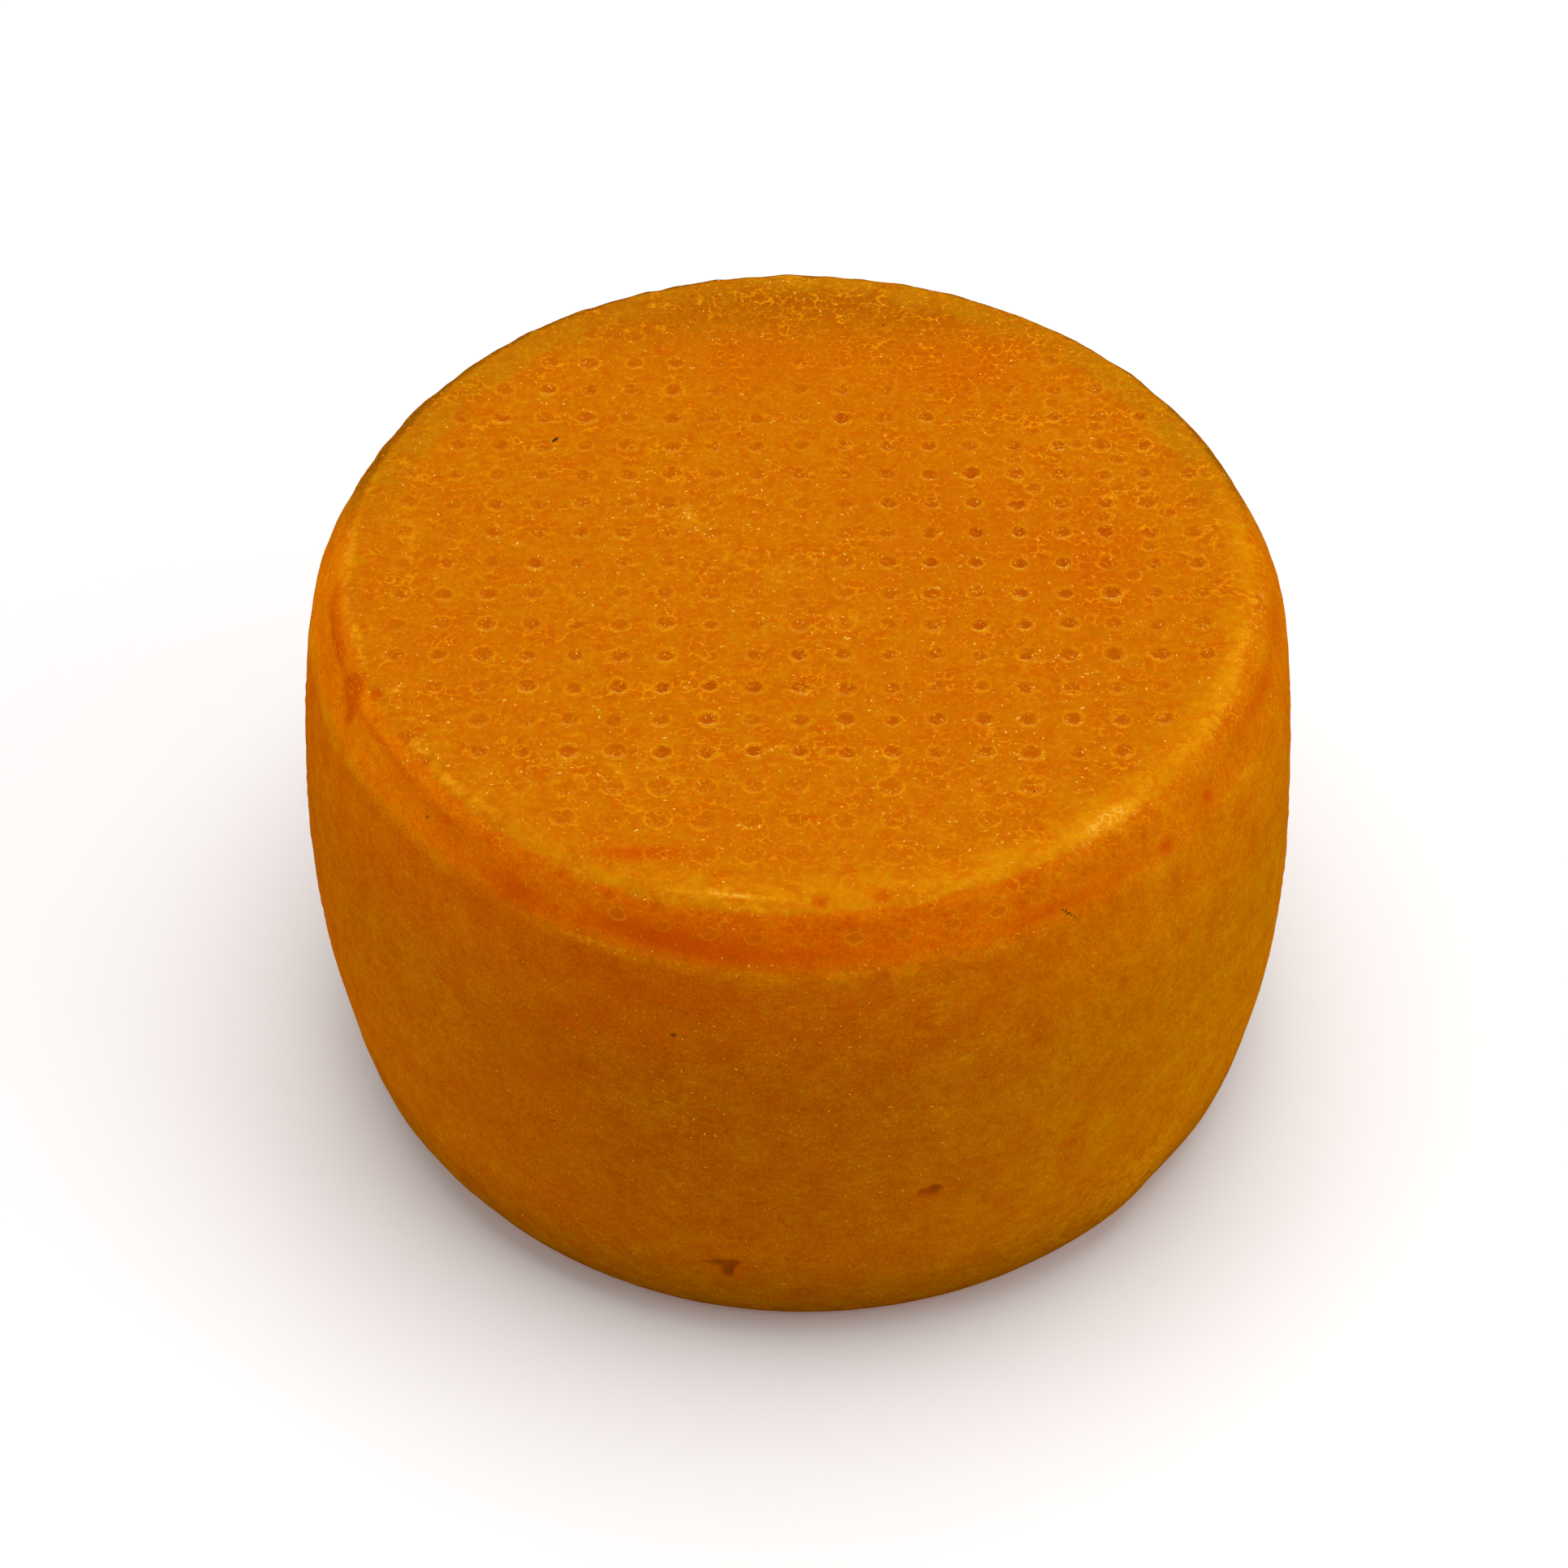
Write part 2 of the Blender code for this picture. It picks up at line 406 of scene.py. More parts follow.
# Middle and half widths in mm, and how much stronger or fainter the marks are there
DEEP_PLACES = (
    (23, 3, 11, 9, 0.55), (15, 18, 8, 9, 0.4), (40, 1, 9, 7, 0.35), (28, -13, 12, 7, 0.25),
    (-8, -20, 19, 4.5, 0.5), (-3, -31, 18, 6, 0.3), (5, 28, 5, 4, 0.35), (-28, -6, 8, 12, 0.12),
)
FAINT_PLACES = ((-2, 3, 11, 11, 0.50), (0, 47, 44, 9, 0.45), (-50, 0, 8, 40, 0.20), (0, -52, 30, 7, 0.25))
RING_PLACES = (
    (24, 4, 20, 18, 0.35), (38, 20, 12, 10, 0.45), (-34, -10, 12, 20, 0.28), (-6, -36, 34, 12, 0.35),
    (-28, 38, 16, 8, 0.55),
)
PLAIN_DEPTH = 0.46
PLAIN_RING = 0.54
DEPTH_DRAW = (0.55, 1.25)
DEPTH_LIMITS = (0.04, 1.15)
RING_DRAW = (0.4, 1.4)
# How much of what fades a pit fades its ring too
RING_FADE = 0.8
SIZE_DRAW = (-0.12, 0.14)
# From this y towards the front, the marks are wider, shallower and fainter
WIDE_FROM = -0.036
WIDE_SIZE = 1.18
WIDE_DEPTH = 0.36
WIDE_RING = 0.85
# Marks off the lattice, at the right edge, where the curd took the lid twice, in mm
SECOND_SIZE = (0.8, 1.0)
SECOND_DEPTH = 0.22
SECOND_RING = (0.4, 0.9)
SECOND_MARKS = (
    (31, 25.2), (36.6, 22.4), (42, 19.5), (33.6, 19.6), (39.4, 25.8), (44.9, 14.2), (28.4, 19.8),
    (36.4, 16.8), (41.6, 13.6), (47.6, 9), (25.6, 25.4), (33.8, 30.8), (39.2, 8.4), (45, 2.9),
    (33.9, 8.6), (42.4, -2.6), (30.6, 14),
)


def bump_share(x, y, places):
    """Sum of soft round hills: middle, half widths and amount, in millimetres."""
    total = 0.0
    for at_x, at_y, half_x, half_y, amount in places:
        total += amount * math.exp(-((x / MM - at_x) / half_x) ** 2 - ((y / MM - at_y) / half_y) ** 2)
    return total


def face_marks(draw):
    """(x, y, size, depth share, ring share) of each mark of a face; a size of 1 is a ring of 2.6 mm."""
    count = int(MARK_REACH / MARK_PITCH) + 1
    turn = Matrix.Rotation(MARK_ROW_TURN, 2)
    marks = []
    for row in range(-count, count + 1):
        for column in range(-count, count + 1):
            place = turn @ Vector((column, row)) * MARK_PITCH + MARK_MIDDLE
            if place.length > MARK_REACH:
                continue
            x = place.x + draw.uniform(-1, 1) * MARK_WANDER
            y = place.y + draw.uniform(-1, 1) * MARK_WANDER
            depth = PLAIN_DEPTH + bump_share(x, y, DEEP_PLACES) - bump_share(x, y, FAINT_PLACES)
            depth = min(DEPTH_LIMITS[1], max(DEPTH_LIMITS[0], depth * draw.uniform(*DEPTH_DRAW)))
            ring = PLAIN_RING + bump_share(x, y, RING_PLACES) - RING_FADE * bump_share(x, y, FAINT_PLACES)
            ring = min(1.0, max(0.0, ring * draw.uniform(*RING_DRAW)))
            wide = 1.0 + draw.uniform(*SIZE_DRAW)
            if y < WIDE_FROM:
                wide *= WIDE_SIZE
                depth *= WIDE_DEPTH
                ring *= WIDE_RING
            marks.append((x, y, wide, depth, ring))
    return marks


draw = random.Random(MARK_SEED)
top_marks = face_marks(draw)
for x, y in SECOND_MARKS:
    top_marks.append((x * MM, y * MM, draw.uniform(*SECOND_SIZE), SECOND_DEPTH, draw.uniform(*SECOND_RING)))
under_marks = face_marks(draw)
print("marks on a face:", len(top_marks))

# %% [markdown]
# A pit is made as on clay: the nearest vertex is pulled up with a wide soft falloff, which
# gives the ring, and then pushed down with a narrow one. Marks of like depth are moved in one
# go, because the move tool measures its falloff from the nearest selected vertex.

# %% A push with a soft falloff
def find_nearest(thing):
    points = read_points(thing)
    tree = kdtree.KDTree(len(points))
    for index, point in enumerate(points):
        tree.insert(point, index)
    tree.balance()
    return tree


def push(tree, places, way, reach, falloff="SMOOTH"):
    """Moves the surface at the places, in edit mode."""
    bpy.ops.mesh.select_all(action="DESELECT")
    mesh = bmesh.from_edit_mesh(bpy.context.object.data)
    mesh.verts.ensure_lookup_table()
    for place in places:
        mesh.verts[tree.find(place)[1]].select_set(True)
    bpy.ops.transform.translate(
        value=way, use_proportional_edit=True, proportional_edit_falloff=falloff, proportional_size=reach,
    )


print("vertices to choose from:", len(rind.data.vertices))

# %% Press the marks into the upper face
RING_REACH = 2.3 * MM
PIT_REACH = 1.35 * MM
RING_HEIGHT = 0.10
DEPTH_GROUPS = 7


def press_marks(marks):
    tree = find_nearest(rind)
    edit(rind)
    ordered = sorted(marks, key=lambda mark: mark[3])
    for group in np.array_split(np.array(ordered), DEPTH_GROUPS):
        places = [on_face(x, y)[0] for x, y, *rest in group]
        depth = MARK_DEPTH * group[:, 3].mean()
        wide = group[:, 2].mean()
        push(tree, places, (0, 0, depth * RING_HEIGHT), RING_REACH * wide)
        push(tree, places, (0, 0, -depth * (1 + RING_HEIGHT)), PIT_REACH * wide)
    bpy.ops.object.mode_set(mode="OBJECT")


press_marks([mark for mark in top_marks if mark[1] >= WIDE_FROM])
press_marks([mark for mark in top_marks if mark[1] < WIDE_FROM])
print_size("the marks")

# %% [markdown]
# ## Dents of the flanks
# Both flanks and the back bear shallow dents about three millimetres apart, left by the mould's
# holes and the cloth, and they give the outline its fine teeth. They lie on a loose lattice,
# away from the smooth front. All are alike, so one shrink with a soft falloff presses them.

# %% Dent the flanks
DENT_PITCH = 3.1
DENT_LEVELS = (21, 66)
DENT_DEPTH = 0.34
DENT_REACH = 1.9
DENT_WANDER = 0.3
DENT_RISE = 0.8
# How far from the back they reach, in degrees
DENTED_TURN = 104
DENT_SEED = 3


def flank_dents(draw):
    """Where the dents lie: the wander is a share of the pitch, and all else is in mm."""
    places = []
    level = DENT_LEVELS[0]
    while level < DENT_LEVELS[1]:
        count = int(math.tau * BELLY_RADIUS / MM / DENT_PITCH)
        for number in range(count):
            azimuth = 360 * (number + draw.uniform(-DENT_WANDER, DENT_WANDER)) / count
            if abs((azimuth - 90 + 180) % 360 - 180) < DENTED_TURN:
                places.append(on_side(azimuth, (level + draw.uniform(-DENT_RISE, DENT_RISE)) * MM))
        level += DENT_PITCH
    return places


def dent_flanks():
    tree = find_nearest(rind)
    edit(rind)
    mesh = bmesh.from_edit_mesh(rind.data)
    mesh.verts.ensure_lookup_table()
    for place, outwards in flank_dents(random.Random(DENT_SEED)):
        mesh.verts[tree.find(place)[1]].select_set(True)
    bpy.ops.transform.shrink_fatten(
        value=-DENT_DEPTH * MM, use_proportional_edit=True, proportional_edit_falloff="SMOOTH",
        proportional_size=DENT_REACH * MM,
    )
    bpy.ops.object.mode_set(mode="OBJECT")


dent_flanks()
print_size("the dents")

# %% [markdown]
# ## Gouges, slits and notches
# The rind is torn in two small places of the side, perhaps by a shelf's edge: each has a sharp
# upper edge and runs out below. Short slits lie elsewhere on the side. The squares there are too
# wide for such faults, so the rind is divided finer round each of them first, and then a row of
# spots is pushed in. Notches in the lip need no finer squares: one soft push each makes them.

# %% List the small faults
# Azimuth in degrees and level in metres, spots round it in mm, depth and reach in mm
GOUGES = (
    (-76.1, 0.0330,
     ((-0.9, 0.0), (-0.3, 0.3), (0.3, 0.35), (0.9, 0.1), (-0.3, -0.3), (0.4, -0.3)), 0.95, 0.75),
    (-99.2, 0.0172,
     ((-0.9, 0.5), (0.0, 0.8), (0.8, 0.9), (1.6, 1.1), (0.5, -0.1), (0.6, -1.0), (0.6, -1.8)), 0.95, 0.8),
)
SLITS = (
    (-99.1, 0.0400, ((-0.7, 0.3), (0.0, 0.0), (0.7, -0.3)), 0.25, 0.8),
    (-91.7, 0.0201, ((-0.6, 0.0), (0.5, 0.0)), 0.22, 1.0),
    (-106.2, 0.0487, ((-0.5, 0.2), (0.4, -0.2)), 0.20, 0.8),
    (-103.9, 0.0579, ((-0.5, 0.0), (0.5, 0.0)), 0.16, 0.8),
    (-70.5, 0.0295, ((-0.8, 0.2), (0.5, -0.1)), 0.18, 0.9),
)
# The same, without spots: reach and depth in mm
NOTCHES = (
    (-87.8, 0.0802, 1.5, 0.50),
    (-80.6, 0.0802, 1.8, 0.45),
    (-147.8, 0.0804, 1.5, 0.55),
    (-143.1, 0.0803, 1.5, 0.50),
    (-156.4, 0.0803, 1.8, 0.40),
    (-159.5, 0.0792, 2.6, 0.35),
    (88.0, 0.0800, 2.4, 0.25),
    (31.0, 0.0802, 2.0, 0.25),
)
GOUGE_ROUND = 3.6 * MM
SLIT_ROUND = 2.2 * MM
FINE_CUTS = 5
TEAR_LIFT = 0.25
DEEP_TEAR = 0.5
NOTCH_SLANT = 0.4


def divide_round(places):
    """Divides the rind finer: each place is a point and how far round it."""
    mesh = bmesh.from_edit_mesh(rind.data)
    for face in mesh.faces:
        middle = face.calc_center_median()
        if any((middle - place).length < reach for place, reach in places):
            face.select_set(True)
    bpy.ops.mesh.subdivide(number_cuts=FINE_CUTS)


def tear(azimuth, level, spots, depth, reach):
    """Pushes a row of spots in and slightly up."""
    tree = find_nearest(rind)
    edit(rind)
    places = []
    for along, up in spots:
        shift = math.degrees(along * MM / BELLY_RADIUS)
        places.append(on_side(azimuth + shift, level + up * MM)[0])
    outwards = on_side(azimuth, level)[1]
    way = -outwards * depth * MM + Vector((0, 0, TEAR_LIFT * depth * MM))
    push(tree, places, way, reach * MM, "SPHERE" if depth > DEEP_TEAR else "SMOOTH")
    bpy.ops.object.mode_set(mode="OBJECT")


print("gouges, slits and notches:", len(GOUGES), len(SLITS), len(NOTCHES))

# %% Tear the small faults
edit(rind, "FACE")
places = [(on_side(azimuth, level)[0], GOUGE_ROUND) for azimuth, level, *rest in GOUGES]
places += [(on_side(azimuth, level)[0], SLIT_ROUND) for azimuth, level, *rest in SLITS]
divide_round(places)
bpy.ops.object.mode_set(mode="OBJECT")
for fault in GOUGES + SLITS:
    tear(*fault)
lip_tree = find_nearest(rind)
edit(rind)
for azimuth, level, reach, depth in NOTCHES:
    place, outwards = on_side(azimuth, level)
    way = (-outwards * NOTCH_SLANT - Vector((0, 0, 1))) * depth * MM
    push(lip_tree, [place], way, reach * MM)
bpy.ops.object.mode_set(mode="OBJECT")
bpy.ops.object.shade_smooth()
print("triangles:", sum(len(face.vertices) - 2 for face in rind.data.polygons))

# %% [markdown]
# ## Where each mark lies, for the finish
# The finish of a mark, its dark floor and broken pale ring, has to sit exactly in its pit. So
# the mesh carries a UV map that gives each corner its way from the nearest mark, in units of
# that mark's size, and two attributes that say how strong its floor and its ring are. One small
# drawing round (0, 0) in that map then serves every mark, also the rows of rings round the bands
# and the side, and the fainter marks underneath, which are drawn and not pressed.

# %% List all the marks
UNDER_SHARE = 0.7
BAND_MARKS = 66
BAND_MARK_LEVEL = 0.0765
BAND_MARK_FIRST = -111.4
BAND_RING_SIZE = 0.84
# The curd sagged behind the band, so its rings are lower than they are wide
BAND_RING_FLAT = 1.4
BAND_RING_DRAW = (0.5, 1.3)
BAND_FLOOR = 0.3
# The band's rings show best at the front, between these azimuths; the lower band's are fainter
CLEAR_FROM = -125
CLEAR_TO = -60
CLEAR_SHARE = 0.50
DIM_SHARE = 0.22
LOWER_SHARE = 0.8
BAND_WANDER = 0.3
SIDE_WANDER = 0.4
# Level in metres, size, depth and ring shares of the two rows on the side
SIDE_ROWS = ((0.0566, 0.55, 0.15, 0.35), (0.0203, 0.50, 0.50, 0.10))


def band_marks(draw):
    """The row of rings round the upper band, and a fainter one round the lower."""
    places = []
    for number in range(BAND_MARKS):
        azimuth = BAND_MARK_FIRST + 360 / BAND_MARKS * number
        shown = CLEAR_SHARE if CLEAR_FROM < azimuth < CLEAR_TO else DIM_SHARE
        for level, share in ((BAND_MARK_LEVEL, 1.0), (WHEEL_HEIGHT - BAND_MARK_LEVEL, LOWER_SHARE)):
            place, outwards = on_side(azimuth + draw.uniform(-BAND_WANDER, BAND_WANDER), level)
            along = Vector((-outwards.y, outwards.x, 0))
            leaning = math.copysign(math.cos(LIP_SLOPE), level - BELLY_LEVEL)
            up = (Vector((0, 0, math.sin(LIP_SLOPE))) - outwards * leaning) * BAND_RING_FLAT
            ring = shown * share * draw.uniform(*BAND_RING_DRAW)
            places.append((place, along, up, BAND_RING_SIZE, ring * BAND_FLOOR, ring))
    return places


def side_marks(draw):
    """Two faint rows of the mould's holes on the side."""
    places = []
    for level, size, depth, ring in SIDE_ROWS:
        for number in range(BAND_MARKS):
            azimuth = BAND_MARK_FIRST + 360 / BAND_MARKS * number
            azimuth += draw.uniform(-SIDE_WANDER, SIDE_WANDER)
            place, outwards = on_side(azimuth, level + draw.uniform(-SIDE_WANDER, SIDE_WANDER) * MM)
            along = Vector((-outwards.y, outwards.x, 0))
            shown = draw.uniform(0.0, 1.0)
            places.append((place, along, Vector((0, 0, 1)), size, depth * shown, ring * shown))
    return places


def all_marks(draw):
    """(place, two ways along the surface, size, depth share, ring share) of every mark."""
    places = []
    ways = Vector((1, 0, 0)), Vector((0, 1, 0))
    faces = (WHEEL_HEIGHT - FACE_SINK, top_marks, 1.0), (0.0, under_marks, UNDER_SHARE)
    for level, marks, share in faces:
        for x, y, wide, depth, ring in marks:
            places.append((Vector((x, y, level)), *ways, wide, depth * share, ring * share))
    return places + band_marks(draw) + side_marks(draw)


marks = all_marks(draw)
print("marks to map:", len(marks))

# %% Map the marks
FAR_FROM_MARKS = 9.0
MARK_FIELD = 4.2 * MM


def map_marks(thing, marks):
    tree = kdtree.KDTree(len(marks))
    for number, mark in enumerate(marks):
        tree.insert(mark[0], number)
    tree.balance()
    mesh = thing.data
    layer = mesh.uv_layers.new(name="marks")
    corners = np.full((len(mesh.loops), 2), FAR_FROM_MARKS)
    shares = np.zeros((2, len(mesh.polygons)))
    for face in mesh.polygons:
        place, number, gap = tree.find(face.center)
        if gap > MARK_FIELD:
            continue
        middle, along, up, wide, *shown = marks[number]
        shares[:, face.index] = shown
        for corner in face.loop_indices:
            way = mesh.vertices[mesh.loops[corner].vertex_index].co - middle
            corners[corner] = way.dot(along) / (wide * MM), way.dot(up) / (wide * MM)
    layer.uv.foreach_set("vector", corners.ravel())
    for name, share in zip(("mark_depth", "mark_ring"), shares):
        mesh.attributes.new(name, "FLOAT", "FACE").data.foreach_set("value", share)
    return np.count_nonzero(shares[1])


print("faces near a mark:", map_marks(rind, marks))

# %% [markdown]
# ## Stains and bloom
# Some of what tells this wheel from another is a set of stains: redder patches where the smear
# stayed wet, on the band and in the notches of the lip, paler ones where the rind is dry, such
# as the lip's crest and a wrinkled film at the front right, and dark ones in the torn places,
# slits and notches, where a darker brown rind is deepened by painted shade in the recess.
# Each is a soft oval on the surface, summed into three vertex attributes that the rind's colours
# read. Painting them by hand would do the same, but a list can be read and changed.

# %% Where the stains lie
# Azimuth in degrees and level in mm, half width, half height in mm, amount
RED_STAINS = (
    (-159.6, 78.8, 2.4, 2.3, 1.15), (-157.4, 76.4, 1.2, 1.8, 0.7), (-156.3, 80.4, 1, 0.8, 1.2),
    (-167, 79.6, 3, 1, 0.5), (-175, 79.6, 5, 1.2, 0.7), (-150, 78.6, 10, 0.8, 0.7),
    (-168, 78.8, 8, 0.9, 0.7), (-138, 77.6, 7, 1.6, 0.35), (-87.8, 80.2, 1.1, 0.9, 1.2),
    (-80.6, 80.2, 1.3, 0.9, 1.2), (-147.8, 80.4, 1.2, 0.8, 1.1), (-143.1, 80.3, 1.1, 0.8, 1.1),
    (-107.1, 75.3, 9, 1.8, 0.8), (-123.3, 74.7, 6, 2.2, 0.7), (-60.9, 74.6, 9, 0.9, 0.6),
    (-44.9, 74.3, 1.4, 1.1, 1), (-36.5, 75.2, 1.4, 1.2, 0.8), (-18, 76.5, 5, 1.2, 0.5),
    (-95, 74.4, 14, 2, 0.5), (-134, 77, 8, 2.4, 0.3), (150, 77, 9, 2, 0.6), (60, 76.5, 12, 1.8, 0.5),
    (20, 76, 8, 1.5, 0.5), (105, 76, 8, 1.6, 0.4), (-8, 76.5, 7, 1.8, 0.5), (-24, 77.5, 5, 1.4, 0.5),
    (-76.2, 32.6, 2, 1, 0.6), (-98.6, 16.4, 2.2, 2, 0.5), (-128, 71, 12, 3, 0.35),
    (-104, 68, 9, 5, 0.35), (-110, 60, 12, 5, 0.3), (-119, 42, 10, 24, 0.28), (-131, 57, 1.4, 1.2, 0.5),
)
# Torn places, slits and notches, dark inside: painted shade in each recess over a darker brown rind
TORN_SHADE_STAINS = (
    (-76, 33.3, 1.25, 0.5, 1.2), (-75.9, 32.7, 0.9, 0.5, 0.5), (-100.9, 17.75, 1.2, 0.2, 0.7),
    (-98.8, 17.95, 1.5, 0.4, 1.2), (-98.6, 17.1, 0.9, 0.65, 0.9), (-98.6, 15.9, 0.5, 0.85, 0.8),
    (-97.2, 18.7, 0.9, 0.2, 0.5), (-91.7, 20.1, 0.5, 0.26, 0.7), (-99.1, 40.1, 0.7, 0.2, 0.7),
    (-106.2, 48.7, 0.5, 0.25, 0.6), (-87.8, 80.2, 0.5, 0.35, 0.35), (-147.8, 80.4, 0.5, 0.35, 0.45),
    (-143.1, 80.3, 0.5, 0.35, 0.45), (-156.3, 80.4, 0.5, 0.4, 0.35), (-159, 79.4, 1, 0.5, 0.4),
)
PALE_STAINS = (
    (-51.5, 80.3, 7, 1.5, 0.6), (-50.5, 80.3, 5.5, 1.3, 0.55), (-19.4, 80.5, 15, 1.6, 0.6),
    (-99, 80.3, 8, 0.45, 0.75), (-98, 80.5, 12, 1.4, 0.3), (-35, 80.5, 8, 1.2, 0.45),
    (-166, 80.55, 6, 0.7, 0.7), (-138.5, 80.4, 2.6, 0.7, 0.7), (-146, 80.5, 3, 0.7, 0.5),
    (-132, 80.5, 5, 0.7, 0.6), (178, 80.5, 8, 0.9, 0.7), (-68, 80.3, 8, 1.2, 0.5),
    (91, 80.4, 4, 1, 0.5), (-46, 16, 13, 7, 0.5), (-30, 26, 8, 9, 0.15), (-115.4, 72.5, 3.2, 0.6, 0.7),
    (-110.6, 72.6, 2.6, 0.6, 0.7), (-104, 71.9, 2.6, 0.8, 0.9), (-96, 72.3, 6, 0.5, 0.6),
    (-84, 72.6, 6, 0.5, 0.6), (-70, 72.4, 6, 0.5, 0.5), (-129, 74, 3, 0.8, 0.5),
    (-29.6, 73, 2, 0.6, 0.7), (-33.1, 73, 1.5, 0.5, 0.6), (-76, 66, 5, 9, 0.25), (-104, 50, 4, 14, 0.2),
    (-62, 10, 12, 4, 0.2), (-12, 60, 12, 12, 0.2), (-165, 55, 12, 16, 0.2), (75, 45, 16, 12, 0.3),
    (140, 30, 14, 12, 0.3),
)
# The same on the upper face, with x and y in mm
RED_FACE_STAINS = (
    (-18.4, -50.1, 7, 1.2, 0.8), (36, 2, 10, 14, 0.25), (-6, 40, 12, 6, 0.25), (18, 4, 12, 26, 0.3),
    (24, 38, 12, 9, 0.4), (20, -28, 10, 8, 0.3), (40, 0, 9, 18, 0.25), (0, 40, 20, 8, 0.2),
    (-44, -15, 8, 8, 0.35), (-12, -46, 12, 5, 0.3),
)
PALE_FACE_STAINS = (
    (-14, 9.3, 0.8, 1.3, 0.7), (-49.8, -22.5, 1.6, 1.4, 0.5), (-45.5, -32, 1.6, 2.4, 0.4),
    (-49.5, 5, 1.4, 6, 0.5), (-30, 41, 12, 6, 0.15), (6, -10, 7, 3, 0.32), (2, -33, 9, 4, 0.22),
    (-22, -37, 16, 5, 0.25), (-13, 8, 8, 7, 0.26), (27, -19, 8, 6, 0.26), (-4, -2, 8, 5, 0.2),
    (-40, 20, 5, 8, 0.18), (44, -12, 4, 8, 0.2),
)
print("red and pale stains:", len(RED_STAINS + RED_FACE_STAINS), len(PALE_STAINS + PALE_FACE_STAINS))

# %% Lay the stains
STAIN_LIMIT = 1.3
STAIN_SHOWS = 0.3


def stain_share(points, side_stains, face_stains):
    """How strongly the soft ovals lie on each point."""
    placed = []
    for azimuth, level, half_width, half_height, amount in side_stains:
        place, outwards = on_side(azimuth, level * MM)
        placed.append((place, (-outwards.y, outwards.x, 0), half_width, half_height, amount))
    for x, y, half_width, half_height, amount in face_stains:
        placed.append((Vector((x * MM, y * MM, WHEEL_HEIGHT)), (1, 0, 0), half_width, half_height, amount))
    total = np.zeros(len(points))
    for place, along, half_width, half_height, amount in placed:
        way = (points - np.array(place)) / MM
        across = way @ np.array(along)
        rest = np.sqrt(np.maximum((way ** 2).sum(1) - across ** 2, 0))
        total += amount * np.exp(-(across / half_width) ** 2 - (rest / half_height) ** 2)
    return np.clip(total, 0, STAIN_LIMIT)


def lay_stains(thing, name, side_stains, face_stains):
    layer = thing.data.attributes.new(name, "FLOAT", "POINT")
    shares = stain_share(read_points(thing), side_stains, face_stains)
    layer.data.foreach_set("value", shares)
    return shares


red_share = lay_stains(rind, "red_stain", RED_STAINS, RED_FACE_STAINS)
pale_share = lay_stains(rind, "pale_bloom", PALE_STAINS, PALE_FACE_STAINS)
lay_stains(rind, "torn", TORN_SHADE_STAINS, ())
for name, shares in (("red", red_share), ("pale", pale_share)):
    print("share of points stained", name + ":", (shares > STAIN_SHOWS).mean().round(3))

# %% [markdown]
# ## Shader sums
# The finish of a rind is many small terms, which read best as sums. The class below wraps an
# output socket of a node, and each sum on it adds the node that does the sum. Any other node
# comes from `node`, which takes its type, its settings and what its sockets are fed.

# %% Sockets that can be added and multiplied
class Shade:
    tree = None

    def __init__(self, socket):
        self.socket = socket

    @classmethod
    def node(cls, kind, settings=None, feeds=None, output=0):
        """One node; output names the socket that is wrapped, or is a tuple of several."""
        made = cls.tree.nodes.new(kind)
        for name, value in (settings or {}).items():
            setattr(made, name, value)
        for name, value in (feeds or {}).items():
            cls.feed(made.inputs[name], value)
        if isinstance(output, tuple):
            return [cls(made.outputs[each]) for each in output]
        return cls(made.outputs[output])

    @classmethod
    def feed(cls, socket, value):
        if isinstance(value, Shade):
            cls.tree.links.new(value.socket, socket)
        else:
            socket.default_value = value

    def math(self, operation, other=None, turned=False):
        first, second = (other, self) if turned else (self, other)
        feeds = {0: first} if second is None else {0: first, 1: second}
        return self.node("ShaderNodeMath", {"operation": operation}, feeds)

    def __add__(self, other):
        return self.math("ADD", other)

    def __radd__(self, other):
        return self.math("ADD", other)

    def __sub__(self, other):
        return self.math("SUBTRACT", other)

    def __rsub__(self, other):
        return self.math("SUBTRACT", other, turned=True)

    def __mul__(self, other):
        return self.math("MULTIPLY", other)

    def __rmul__(self, other):
        return self.math("MULTIPLY", other)

    def __truediv__(self, other):
        return self.math("DIVIDE", other)

    def __gt__(self, other):
        return self.math("GREATER_THAN", other)

    def __abs__(self):
        return self.math("ABSOLUTE")

    def limited(self):
        return self.node("ShaderNodeClamp", None, {"Value": self})

    def between(self, low, high):
        """0 below low, 1 above high, a soft step between; turned round where low is the higher."""
        settings = {"interpolation_type": "SMOOTHSTEP"}
        feeds = {"Value": self, "From Min": min(low, high), "From Max": max(low, high)}
        step = self.node("ShaderNodeMapRange", settings, feeds)
        return step if low < high else 1.0 - step


def start_material(name):
    material = bpy.data.materials.new(name)
    material.use_nodes = True
    Shade.tree = material.node_tree
    return material, material.node_tree.nodes["Principled BSDF"]


def blend_colours(first, second, share, way="MIX"):
    return Shade.node(
        "ShaderNodeMix", {"data_type": "RGBA", "blend_type": way}, {0: share, 6: first, 7: second}, 2
    )


def sum_vectors(first, second, way="ADD"):
    return Shade.node("ShaderNodeVectorMath", {"operation": way}, {0: first, 1: second})


def place_in_mm():
    """Where on the wheel, in millimetres: its vector and its three parts."""
    place = Shade.node("ShaderNodeTexCoord", None, None, "Object")
    place = Shade.node("ShaderNodeVectorMath", {"operation": "SCALE"}, {0: place, "Scale": 1.0 / MM})
    parts = [Shade.node("ShaderNodeSeparateXYZ", None, {0: place}, part) for part in "XYZ"]
    return place, *parts


def read_attribute(name):
    return Shade.node("ShaderNodeAttribute", {"attribute_name": name}, None, "Fac")


def noise(place, size, detail=2.0, rough=0.5, output="Fac"):
    """Cloudy pattern whose patches are about the given size in millimetres, from 0 to 1."""
    feeds = {"Vector": place, "Scale": 1.0 / size, "Detail": detail, "Roughness": rough}
    return Shade.node("ShaderNodeTexNoise", None, feeds, output)


